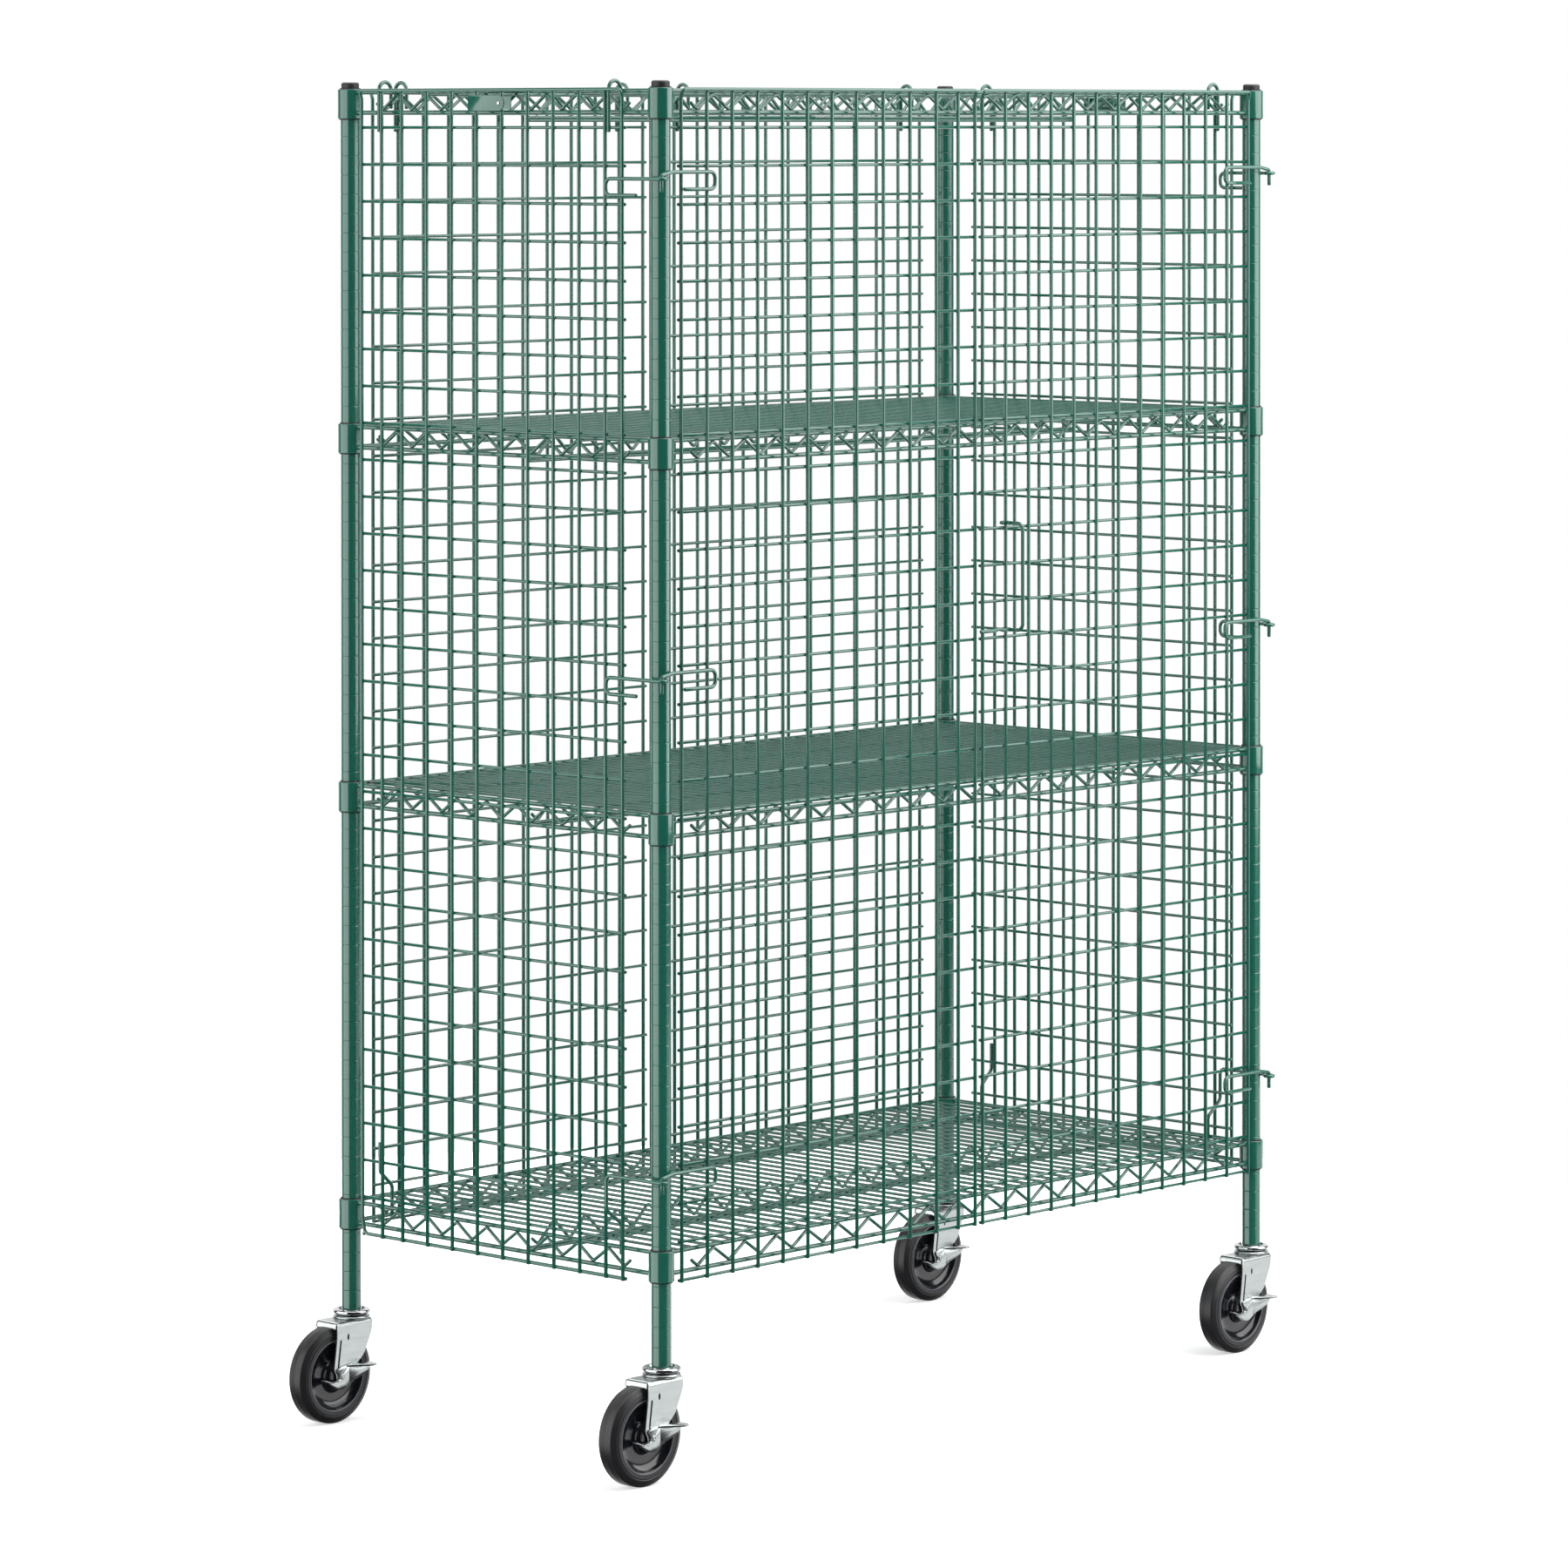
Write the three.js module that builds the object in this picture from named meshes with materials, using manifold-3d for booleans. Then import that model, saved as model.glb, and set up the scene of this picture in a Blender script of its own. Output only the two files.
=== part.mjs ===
// Mobile security cage: four posts on braked casters carry four wire shelves,
// closed by wire mesh panels at the sides and back and by two mesh doors with a latch.
// Millimetres, +Z up, doors toward -Y.

import * as THREE from 'three';
import { mergeVertices } from 'three/addons/utils/BufferGeometryUtils.js';
import Module from 'manifold-3d';

const wasm = await Module();
wasm.setup();

// Posts and shelf levels
const postSpacingX = 1181;
const postSpacingY = 571.5;
const postDiameter = 25.4;
const postWall = 1.4;
const bottomShelfRise = 146.4;
const lowerBayHeight = 551;
const middleBayHeight = 473;
const upperBayHeight = 441;

// Clearances, weld depths and facets
const seatGap = 0.3;
const wireGap = 0.05;
const weldDepth = 0.6;
const roundSides = 12;
const bendSteps = 2;
const hookSteps = 5;
const roundEndSteps = 6;
const mergeDistance = 1e-5;
const quarterTurn = 90;
const eyeSides = 8;
const wheelSides = 16;

// Post cap
const capHeadDiameter = 23.4;
const capHeadHeight = 7;
const capCrownHeight = 1.6;
const capCrownDiameter = 19;
const capPlugDepth = 14;

// Shelf collars and the split sleeves inside them
const collarWall = 1.5;
const collarHeight = 39;
const sleeveWall = 0.9;
const sleeveTaper = 0.8;
const sleeveRim = 1.4;

// Shelf wires
const trussWireDiameter = 6;
const latticeWireDiameter = 4.5;
const deckWireDiameter = 4;
const supportWireDiameter = 5;
const trussOffset = 1.2;
const trussTopDrop = 4;
const trussHeight = 27;
const latticeClearance = 47.5;
const latticePitch = 59;
const latticeTailLength = 11.5;
const latticeTailRise = 9;
const latticeSlantFactor = 1.15;
const deckWireDrop = 3.2;
const deckEdgeClearance = 14.5;
const deckPitch = 26;
const supportSpacing = 290;

// Mesh panels and doors
const uprightDiameter = 5;
const rowDiameter = 4;
const rowOverhang = 3;
const uprightOverhang = 2.5;
const panelTopDrop = 2;
const panelBottomDrop = 40;
const rowCells = 31;
const doorDepthClearance = 1.2;
const panelDepthClearance = 6.9;
const doorEdgeClearance = 7;
const doorMiddleGap = 15;
const sideRearClearance = 25;
const sideFrontClearance = 33.5;
const sideRearCell = 38.2;
const sideFrontCell = 30.2;
const sideWideCells = 8;
const backLeftClearance = 41;
const backRightClearance = 19.2;
const backSeamGap = 16;
const backSeamOffset = 12.5;

// Cell widths of each panel as shares of its even cell
const evenCellShares = [1, 1, 1, 1, 1, 1, 1, 1, 1, 1, 1, 1];
const leftDoorCellShares = [1, 1, 1, 1, 1, 1, 1, 1.11, 1.11, 1.11, 0.92, 0.72];
const backLeftCellShares = [1, 1, 1, 1, 1, 1, 1, 1, 1, 1, 1];

// Panel hooks over the top shelf and under the edge of the bottom shelf
const hookWireDiameter = 5;
const hookRise = 11.5;
const hookTail = 4;
const hookInnerLeg = 26;
const footLegTop = 84;
const footBendTop = 45;
const footBendBottom = 25;
const footTipDrop = 15;

// Hinges: an eye on the side panel and a pin on the door
const hingeWireDiameter = 5;
const pinClearance = 0.4;
const pinLength = 15;
const hingeRows = [2, 15, 28];
const hingeDrop = 16;
const sideArmHeight = 21;
const sideArmReturn = 55;
const doorArmRise = 8.4;
const doorArmHeight = 21.7;
const doorArmOverrun = 10;
const doorArmSlope = 20;
const bendRadius = 8;

// Latch handle on the right door
const latchWireDiameter = 5;
const latchRowCount = 12;
const latchTopRise = 6.6;
const latchHeight = 142;
const latchReach = 30;
const latchTipGap = 3.6;
const latchCornerRadius = 9;

// Tag plates on the two sides
const tagLength = 66;
const tagHeight = 20;
const tagThickness = 1.2;
const tagLap = 0.3;
const tagDrop = 19;
const tagOffset = 6.4;
const tagTongueReach = 12.5;
const tagTongueHeight = 17;
const tagRivetDiameter = 6.5;
const tagRivetHeight = 0.8;

// Casters
const wheelDiameter = 127;
const wheelWidth = 30;
const wheelShoulder = 5;
const wheelRimDiameter = 94;
const wheelWebWidth = 12;
const wheelHubDiameter = 30;
const casterTrail = 39;
const forkClearance = 4;
const forkThickness = 3;
const forkSideClearance = 3.75;
const forkTopFront = 17;
const forkTopRear = 6.5;
const forkFootDepth = 12;
const forkFootHalfWidth = 13;
const forkRearLean = 6;
const axleDiameter = 12;
const axleHeadDiameter = 17;
const axleHeadHeight = 4;
const runningGap = 0.5;
const raceDiameter = 45;
const raceHeight = 5;
const swivelRingDiameter = 49;
const swivelRingHeight = 5.2;
const kingpinDiameter = 12;
const kingpinHeadDiameter = 19;
const kingpinHeadHeight = 4;
const stemDepth = 45;

// Brake lever
const leverThickness = 2.5;
const leverReach = 46;
const leverTabWidth = 20;
const leverTabRise = 14;
const leverTailReach = 38;
const leverTailDrop = 8;
const leverTailWidth = 9;
const leverBossRadius = 15;

// Finishes
const epoxyGreen = finish(0x1f6b55, 0.38, 0.25);
const capBlack = finish(0x1b1c1d, 0.55, 0);
const sleeveBlack = finish(0x17191a, 0.6, 0);
const brightZinc = finish(0xc9ccce, 0.28, 0.9);
const chromePlate = finish(0xd6d8da, 0.12, 1);
const treadGrey = finish(0x2b2c30, 0.7, 0);

// Sizes that follow from the ones above
const postRadius = postDiameter / 2;
const postBore = postRadius - postWall;
const wheelRadius = wheelDiameter / 2;
const forkPlateBottom = wheelDiameter + forkClearance;
const forkPlateTop = forkPlateBottom + forkThickness;
const swivelRingBottom = forkPlateTop + raceHeight + seatGap;
const postFoot = swivelRingBottom + swivelRingHeight + seatGap;
const bottomLevel = postFoot + bottomShelfRise;
const lowerLevel = bottomLevel + lowerBayHeight;
const upperLevel = lowerLevel + middleBayHeight;
const topLevel = upperLevel + upperBayHeight;
const shelfLevels = { bottom: bottomLevel, lower: lowerLevel, upper: upperLevel, top: topLevel };
const collarBoreFoot = postRadius + seatGap + sleeveWall + sleeveTaper + seatGap;
const collarRadius = collarBoreFoot + collarWall;
const forkWidth = wheelWidth + 2 * (forkSideClearance + forkThickness);
const facetCentred = Math.PI / roundSides;

const uprightHalf = halfDiagonal(uprightDiameter);
const rowHalf = halfDiagonal(rowDiameter);
const rowSetback = uprightHalf + rowHalf - weldDepth;
const uprightLift = weldDepth + wireGap;
const hingeHalf = squareSide(hingeWireDiameter) / 2;
const eyeCorner = 1 / Math.cos(Math.PI / eyeSides);
const eyeRadius = (halfDiagonal(hingeWireDiameter) + pinClearance) * eyeCorner + hingeHalf;
const trussHalf = squareSide(trussWireDiameter) / 2;
const trussFace = trussOffset + trussHalf;
const doorOffset = trussFace + doorDepthClearance + rowHalf + rowSetback;
const panelOffset = trussFace + panelDepthClearance + rowHalf + rowSetback;
const armLine = panelOffset + uprightHalf - weldDepth + hingeHalf;
const pinOffsetX = armLine - eyeRadius;
const pinOffsetY = doorOffset + uprightLift + uprightHalf - weldDepth + hingeHalf;
const hookHalf = squareSide(hookWireDiameter) / 2;
const hookOuter = panelOffset - (uprightHalf - hookHalf);
const hookInner = trussOffset - trussHalf - seatGap - hookHalf;
const besideUpright = uprightHalf + hookHalf + seatGap;
const deckRun = postSpacingX - 2 * (collarRadius + deckEdgeClearance);
const deckCells = Math.round(deckRun / deckPitch);
const deckCell = deckRun / deckCells;

const panelTop = -panelTopDrop;
const panelBottom = bottomLevel - topLevel - panelBottomDrop;
const rowPitch = (panelTop - panelBottom) / rowCells;
const rowPlaces = Array.from({ length: rowCells + 1 }, (_, row) => panelTop - row * rowPitch);
const hingeLevels = hingeRows.map((row) => rowPlaces[row] - hingeDrop);

function finish(color, roughness, metalness) {
  return new THREE.MeshStandardMaterial({ color, roughness, metalness });
}

// Side of the square bar that has the same cross-section area as a round wire
function squareSide(diameter) {
  return (diameter / 2) * Math.sqrt(Math.PI);
}

function halfDiagonal(diameter) {
  return squareSide(diameter) / Math.SQRT2;
}

// Closed surface made solid: corners shared, empty triangles dropped, faces turned outward
function solid(geometry) {
  const bare = geometry.index ? geometry.toNonIndexed() : geometry.clone();
  bare.deleteAttribute('normal');
  bare.deleteAttribute('uv');
  const shared = mergeVertices(bare, mergeDistance);
  const corners = shared.attributes.position.array;
  const faces = [];
  for (let i = 0; i < shared.index.count; i += 3) {
    const face = [shared.index.getX(i), shared.index.getX(i + 1), shared.index.getX(i + 2)];
    if (new Set(face).size === 3) faces.push(face);
  }
  if (signedVolume(corners, faces) < 0) faces.forEach((face) => face.reverse());
  const mesh = new wasm.Mesh({
    numProp: 3,
    vertProperties: new Float32Array(corners),
    triVerts: new Uint32Array(faces.flat()),
  });
  return new wasm.Manifold(mesh);
}

function signedVolume(corners, faces) {
  const [a, b, c] = [new THREE.Vector3(), new THREE.Vector3(), new THREE.Vector3()];
  return faces.reduce((sum, face) => {
    a.fromArray(corners, face[0] * 3);
    b.fromArray(corners, face[1] * 3);
    c.fromArray(corners, face[2] * 3);
    return sum + a.dot(b.cross(c));
  }, 0);
}

function unite(solids) {
  return solids.reduce((whole, piece) => whole.add(piece));
}

// A named mesh made from a solid
function part(name, body, material) {
  const { vertProperties, triVerts } = body.getMesh();
  const geometry = new THREE.BufferGeometry();
  geometry.setAttribute('position', new THREE.BufferAttribute(new Float32Array(vertProperties), 3));
  geometry.setIndex(new THREE.BufferAttribute(new Uint32Array(triVerts), 1));
  const flat = geometry.toNonIndexed();
  flat.computeVertexNormals();
  const mesh = new THREE.Mesh(flat, material);
  mesh.name = name;
  return mesh;
}

function placed(object, x, y, z) {
  object.position.set(x, y, z);
  return object;
}

function box(sizeX, sizeY, sizeZ, x, y, z) {
  return solid(new THREE.BoxGeometry(sizeX, sizeY, sizeZ).translate(x, y, z));
}

// A turned shape about +Z from (radius, height) pairs
function turned(profile, sides = roundSides) {
  const points = profile.map(([radius, height]) => new THREE.Vector2(radius, height));
  return solid(new THREE.LatheGeometry(points, sides, Math.PI / sides).rotateX(Math.PI / 2));
}

function closedRing(inner, outer, bottom, top) {
  return [[inner, bottom], [outer, bottom], [outer, top], [inner, top], [inner, bottom]];
}

// A flat plate in the X-Z plane: outline points are (x, z), its thickness lies along Y
function plate(outline, thickness) {
  const shape = new THREE.Shape(outline.map(([x, z]) => new THREE.Vector2(x, z)));
  const geometry = new THREE.ExtrudeGeometry(shape, { depth: thickness, bevelEnabled: false });
  return geometry.translate(0, 0, -thickness / 2).rotateX(Math.PI / 2);
}

function arc(centreX, centreZ, radius, fromAngle, toAngle, steps) {
  return Array.from({ length: steps + 1 }, (_, step) => {
    const angle = fromAngle + ((toAngle - fromAngle) * step) / steps;
    return [centreX + radius * Math.cos(angle), centreZ + radius * Math.sin(angle)];
  });
}

// A wire bent in the X-Z plane: its centreline widened to both sides with mitred corners
function bentWire(path, diameter) {
  const half = squareSide(diameter) / 2;
  const points = path.map(([x, z]) => new THREE.Vector2(x, z));
  const sides = points.map((point, i) => {
    const before = i > 0 ? point.clone().sub(points[i - 1]).normalize() : null;
    const after = i < points.length - 1 ? points[i + 1].clone().sub(point).normalize() : null;
    const along = (before ?? after).clone().add(after ?? before).normalize();
    const across = new THREE.Vector2(-along.y, along.x);
    const reach = half / Math.abs(along.dot(before ?? after));
    return [point.clone().addScaledVector(across, reach), point.clone().addScaledVector(across, -reach)];
  });
  const outline = [...sides.map((pair) => pair[0]), ...sides.map((pair) => pair[1]).reverse()];
  return plate(outline.map((corner) => [corner.x, corner.y]), squareSide(diameter));
}

// Posts, caps and sleeves

function post() {
  return turned(closedRing(postBore, postRadius, postFoot, topLevel + seatGap));
}

function postCap() {
  const plugRadius = postBore - seatGap;
  const seat = topLevel + seatGap * 2;
  return turned([
    [0, seat - capPlugDepth],
    [plugRadius, seat - capPlugDepth],
    [plugRadius, seat],
    [capHeadDiameter / 2, seat],
    [capHeadDiameter / 2, seat + capHeadHeight],
    [capCrownDiameter / 2, seat + capHeadHeight + capCrownHeight],
    [0, seat + capHeadHeight + capCrownHeight],
  ]);
}

// Sleeve around the post, wider at its foot, with a rim above and below the collar
function sleeve() {
  const inner = postRadius + seatGap;
  const outerTop = inner + sleeveWall;
  const bottom = -collarHeight - sleeveRim;
  return turned([
    [inner, bottom],
    [outerTop + sleeveTaper, bottom],
    [outerTop, sleeveRim],
    [inner, sleeveRim],
    [inner, bottom],
  ]);
}

// Shelves

function collar(x, y) {
  const ring = turned([
    [collarBoreFoot, -collarHeight],
    [collarRadius, -collarHeight],
    [collarRadius, 0],
    [collarBoreFoot - sleeveTaper, 0],
    [collarBoreFoot, -collarHeight],
  ]);
  return ring.translate([x, y, 0]);
}

// Zigzag wire between the truss wires: even places run low, the two ends rise as free tails
function lattice(span) {
  const half = (squareSide(latticeWireDiameter) / 2) * latticeSlantFactor;
  const high = -trussTopDrop - trussHalf - wireGap - half;
  const low = -trussTopDrop - trussHeight + trussHalf + wireGap + half;
  const run = span - 2 * (collarRadius + latticeClearance);
  const bends = 2 * Math.round(run / latticePitch);
  const path = [[-run / 2 - latticeTailLength, low + latticeTailRise]];
  for (let bend = 0; bend <= bends; bend += 1) {
    const welded = bend === 0 || bend === bends;
    const lowEnd = welded ? low - wireGap - weldDepth : low;
    path.push([-run / 2 + (run * bend) / bends, bend % 2 ? high : lowEnd]);
  }
  path.push([run / 2 + latticeTailLength, low + latticeTailRise]);
  const outline = [
    ...path.map(([x, z]) => [x, z - half]),
    ...path.map(([x, z]) => [x, z + half]).reverse(),
  ];
  return solid(plate(outline, squareSide(latticeWireDiameter)));
}

// One truss edge along X, on the side that faces -Y
function truss(span) {
  const wire = squareSide(trussWireDiameter);
  const collarFace = collarRadius * Math.cos(facetCentred) - collarWall / 2;
  const length = span - 2 * collarFace;
  return [
    box(length, wire, wire, 0, 0, -trussTopDrop),
    box(length, wire, wire, 0, 0, -trussTopDrop - trussHeight),
    lattice(span),
  ];
}

function trussAround(spanX, spanY) {
  const along = truss(spanX);
  const across = truss(spanY);
  const turn = (body, angle, distance) => body.translate([0, -distance, 0]).rotate([0, 0, angle]);
  return [
    ...along.map((body) => turn(body, 0, spanY / 2 + trussOffset)),
    ...along.map((body) => turn(body, 2 * quarterTurn, spanY / 2 + trussOffset)),
    ...across.map((body) => turn(body, quarterTurn, spanX / 2 + trussOffset)),
    ...across.map((body) => turn(body, -quarterTurn, spanX / 2 + trussOffset)),
  ];
}

// Deck wires: welded into the front truss wire, a wire gap short of the rear one
function deck() {
  const wire = squareSide(deckWireDiameter);
  const innerFace = postSpacingY / 2 + trussOffset - trussHalf;
  const length = 2 * innerFace + weldDepth - wireGap;
  const middle = -(weldDepth + wireGap) / 2;
  return Array.from({ length: deckCells + 1 }, (_, place) => {
    const x = place * deckCell - deckRun / 2;
    return box(wire, length, wire, x, middle, -deckWireDrop);
  });
}

// Wires under the deck, from one short side to the other
function supports() {
  const wire = squareSide(supportWireDiameter);
  const drop = deckWireDrop + squareSide(deckWireDiameter) / 2 + wireGap + wire / 2;
  const innerFace = postSpacingX / 2 + trussOffset - trussHalf;
  const length = 2 * (innerFace + weldDepth);
  return [-1, 1].map((side) => box(length, wire, wire, 0, (side * supportSpacing) / 2, -drop));
}

function shelf() {
  const collars = [-1, 1].flatMap((sideX) =>
    [-1, 1].map((sideY) => collar((sideX * postSpacingX) / 2, (sideY * postSpacingY) / 2)));
  return unite([
    ...collars,
    ...trussAround(postSpacingX, postSpacingY),
    ...deck(),
    ...supports(),
  ]);
}

// Mesh panels: uprights outside, rows behind them; each panel faces -Y with its top level at 0

function uprightPlaces(from, width, shares) {
  const total = shares.reduce((sum, share) => sum + share, 0);
  const places = [from];
  shares.forEach((share) => places.push(places[places.length - 1] + (width * share) / total));
  return places;
}

function upright(x, offset) {
  const side = squareSide(uprightDiameter);
  const length = panelTop - panelBottom + 2 * uprightOverhang;
  const wire = new THREE.BoxGeometry(side, side, length).rotateZ(Math.PI / 4);
  return solid(wire.translate(x, -offset, (panelTop + panelBottom) / 2));
}

function meshRow(from, to, offset, z) {
  const side = squareSide(rowDiameter);
  const length = to - from + 2 * rowOverhang;
  const wire = new THREE.BoxGeometry(length, side, side).rotateX(Math.PI / 4);
  return solid(wire.translate((from + to) / 2, -offset, z));
}

// The top row runs in front of the uprights and the rows below it run behind them.
// The first upright is welded to every row; the others hang from the top row
// and stand off the rows below it by the wire gap
function mesh(places, offset) {
  const uprights = places.map((x, i) => upright(x, i === 0 ? offset : offset + uprightLift));
  const rows = rowPlaces.map((z, i) => {
    const rowOffset = i === 0 ? offset + rowSetback : offset - rowSetback;
    return meshRow(Math.min(...places), Math.max(...places), rowOffset, z);
  });
  return [...uprights, ...rows];
}

// A solid from a wire bent in the Y-Z plane at one place along the panel
function crosswise(geometry, x) {
  return solid(geometry.rotateZ(Math.PI / 2).translate(x, 0, 0));
}

// Hook over the top edge of the top shelf
function topHook(x) {
  const radius = (hookOuter - hookInner) / 2;
  const crown = hookRise - hookHalf - radius;
  const path = [
    [-hookOuter, rowPlaces[1] - rowHalf - hookTail],
    ...arc(-(hookOuter + hookInner) / 2, crown, radius, Math.PI, 0, hookSteps),
    [-hookInner, -hookInnerLeg],
  ];
  return crosswise(bentWire(path, hookWireDiameter), x);
}

// Foot that drops outside the mesh, passes through a cell and catches behind the bottom shelf's edge
function footHook(x, outer, top) {
  const shelfTop = bottomLevel - topLevel;
  const path = [
    [-outer, top],
    [-outer, shelfTop + footBendTop],
    [-hookInner, shelfTop + footBendBottom],
    [-hookInner, shelfTop - footTipDrop],
  ];
  return crosswise(bentWire(path, hookWireDiameter), x);
}

// Hinge arm of a side panel, with its eye; the pin axis is at x = pin
function sideArm(pin, end, level) {
  const foot = level - sideArmHeight;
  const arm = bentWire([
    [pin, level],
    ...turnBack(end, level, foot, -1),
    [end + sideArmReturn, foot],
  ], hingeWireDiameter);
  return solid(arm.translate(0, -armLine, 0)).add(hingeEye(pin, level));
}

// Two rounded corners that bring a wire back below itself at x = end
function turnBack(end, top, foot, inward) {
  const centre = end - inward * bendRadius;
  const quarter = (-inward * Math.PI) / 2;
  const start = Math.PI / 2;
  return [
    ...arc(centre, top - bendRadius, bendRadius, start, start + quarter, bendSteps),
    ...arc(centre, foot + bendRadius, bendRadius, start + quarter, start + 2 * quarter, bendSteps),
  ];
}

// The lowest arm runs to the panel's foot instead of turning back
function lowestArm(pin, end, level) {
  const arm = bentWire([[pin, level], [end - hingeHalf, level]], hingeWireDiameter);
  return unite([
    solid(arm.translate(0, -armLine, 0)),
    hingeEye(pin, level),
    footHook(end, armLine, level + hingeHalf),
  ]);
}

function hingeEye(pin, level) {
  return eye(hingeWireDiameter, eyeRadius).translate([pin, -pinOffsetX, level]);
}

function eye(wireDiameter, radius) {
  const half = squareSide(wireDiameter) / 2;
  return turned(closedRing(radius - half, radius + half, -half, half), eyeSides);
}

// Side panel: `toFront` is +1 where local +X runs toward the doors and -1 where it runs away
function sidePanel(toFront) {
  const front = postSpacingY / 2 - collarRadius - sideFrontClearance;
  const width = front + postSpacingY / 2 - collarRadius - sideRearClearance;
  const evenCell = (width - 2 * sideRearCell - sideFrontCell) / sideWideCells;
  const cells = [sideFrontCell, ...Array(sideWideCells).fill(evenCell), sideRearCell, sideRearCell];
  const places = uprightPlaces(front, -width, cells);

  const frontHook = places[1] + besideUpright;
  const rearHook = places.at(-2) - besideUpright;
  const pin = postSpacingY / 2 + pinOffsetY;
  const bodies = [
    ...mesh(places, panelOffset),
    topHook(rearHook),
    topHook(frontHook),
    footHook(rearHook, hookOuter, bottomLevel - topLevel + footLegTop),
    ...hingeLevels.slice(0, -1).map((level) => sideArm(pin, frontHook, level)),
    lowestArm(pin, frontHook, hingeLevels.at(-1)),
  ];
  const panel = unite(bodies);
  return toFront > 0 ? panel : panel.mirror([1, 0, 0]);
}

// Back panel with its outer upright at `outer`, running by `width` toward the seam.
// Its hooks stand beside the second upright from each end, on the side away from the seam
function backPanel(outer, width, shares) {
  const places = uprightPlaces(outer, width, shares);
  const inward = Math.sign(width);
  return unite([
    ...mesh(places, panelOffset),
    topHook(places[1] - inward * besideUpright),
    topHook(places.at(-2) - inward * besideUpright),
  ]);
}

// Hinge arm of a door: a pin that drops through the eye, a top leg and a return leg
function doorArm(pin, first, second, level) {
  const inward = Math.sign(second - first);
  const end = second + inward * doorArmOverrun;
  const bearing = level + squareSide(hingeWireDiameter) + seatGap;
  const top = level + doorArmRise;
  const foot = top - doorArmHeight;
  const path = [
    [pin, level - hingeHalf - pinLength],
    [pin, bearing],
    [pin + inward * doorArmSlope, top],
    ...turnBack(end, top, foot, inward),
    [first, foot],
  ];
  return solid(bentWire(path, hingeWireDiameter).translate(0, -pinOffsetY, 0));
}

function doorPlaces(side) {
  const outer = postSpacingX / 2 - collarRadius - doorEdgeClearance;
  const width = outer - doorMiddleGap / 2;
  const shares = side < 0 ? leftDoorCellShares : evenCellShares;
  const places = uprightPlaces(outer, -width, shares);
  return places.map((x) => side * x);
}

function door(side) {
  const places = doorPlaces(side);
  const pin = side * (postSpacingX / 2 + pinOffsetX);
  return unite([
    ...mesh(places, doorOffset),
    ...hingeLevels.map((level) => doorArm(pin, places[0], places[1], level)),
  ]);
}

// Latch: two eyes on an upright of the right door, a grip bow in front and a tongue toward the left door
function latch() {
  const latchHalf = squareSide(latchWireDiameter) / 2;
  const bore = (uprightHalf + pinClearance) * eyeCorner;
  const radius = bore + latchHalf;
  const cornerY = latchCornerRadius - latchReach;
  const foot = latchCornerRadius - latchHeight;
  const bow = [
    [-radius, 0],
    ...arc(cornerY, -latchCornerRadius, latchCornerRadius, Math.PI / 2, Math.PI, bendSteps),
    ...arc(cornerY, foot, latchCornerRadius, Math.PI, (Math.PI * 3) / 2, bendSteps),
    [-radius, -latchHeight],
  ];
  const pivot = doorPlaces(1).at(-2);
  const tongue = pivot + doorMiddleGap / 2 - latchTipGap;
  const side = squareSide(latchWireDiameter);
  return unite([
    eye(latchWireDiameter, radius),
    eye(latchWireDiameter, radius).translate([0, 0, -latchHeight]),
    crosswise(bentWire(bow, latchWireDiameter), 0),
    box(tongue, side, side, -tongue / 2, -radius, -latchHeight),
  ]);
}

// Tag plate: a bare plate with one round end, riveted on a tongue that reaches past that end
function tagPlate(toFront) {
  const endRadius = tagHeight / 2;
  const straight = tagLength / 2 - endRadius;
  const outline = [
    [-tagLength / 2, endRadius],
    [-tagLength / 2, -endRadius],
    ...arc(straight, 0, endRadius, -Math.PI / 2, Math.PI / 2, roundEndSteps),
  ];
  const rivet = turned([
    [0, -tagThickness],
    [tagRivetDiameter / 2, -tagThickness],
    [tagRivetDiameter / 2, tagRivetHeight],
    [0, tagRivetHeight],
  ], eyeSides).rotate([quarterTurn, 0, 0]);
  const tongueLength = endRadius + tagTongueReach;
  const tongueY = tagThickness / 2 - tagLap;
  const body = unite([
    solid(plate(outline, tagThickness)).translate([0, -tagThickness / 2, 0]),
    rivet.translate([straight, -tagThickness, 0]),
    box(tongueLength, tagThickness, tagTongueHeight, straight + tongueLength / 2, tongueY, 0),
  ]);
  return toFront > 0 ? body : body.mirror([1, 0, 0]);
}

// Casters: every piece stands with the swivel axis at the origin and the floor at 0

function wheel() {
  const half = wheelWidth / 2;
  const hubHalf = forkWidth / 2 - forkThickness - runningGap;
  const bore = axleDiameter / 2 + runningGap;
  const flatToCorner = 1 / Math.cos(Math.PI / wheelSides);
  const side = (sign) => [
    [bore, sign * hubHalf],
    [wheelHubDiameter / 2, sign * hubHalf],
    [wheelHubDiameter / 2 + wheelShoulder, (sign * wheelWebWidth) / 2],
    [wheelRimDiameter / 2, sign * half],
    [(wheelRadius - wheelShoulder) * flatToCorner, sign * half],
    [wheelRadius * flatToCorner, sign * (half - wheelShoulder)],
  ];
  const profile = [...side(-1), ...side(1).reverse()];
  const points = [...profile, profile[0]].map(([radius, y]) => new THREE.Vector2(radius, y));
  return solid(new THREE.LatheGeometry(points, wheelSides, Math.PI / wheelSides));
}

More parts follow.
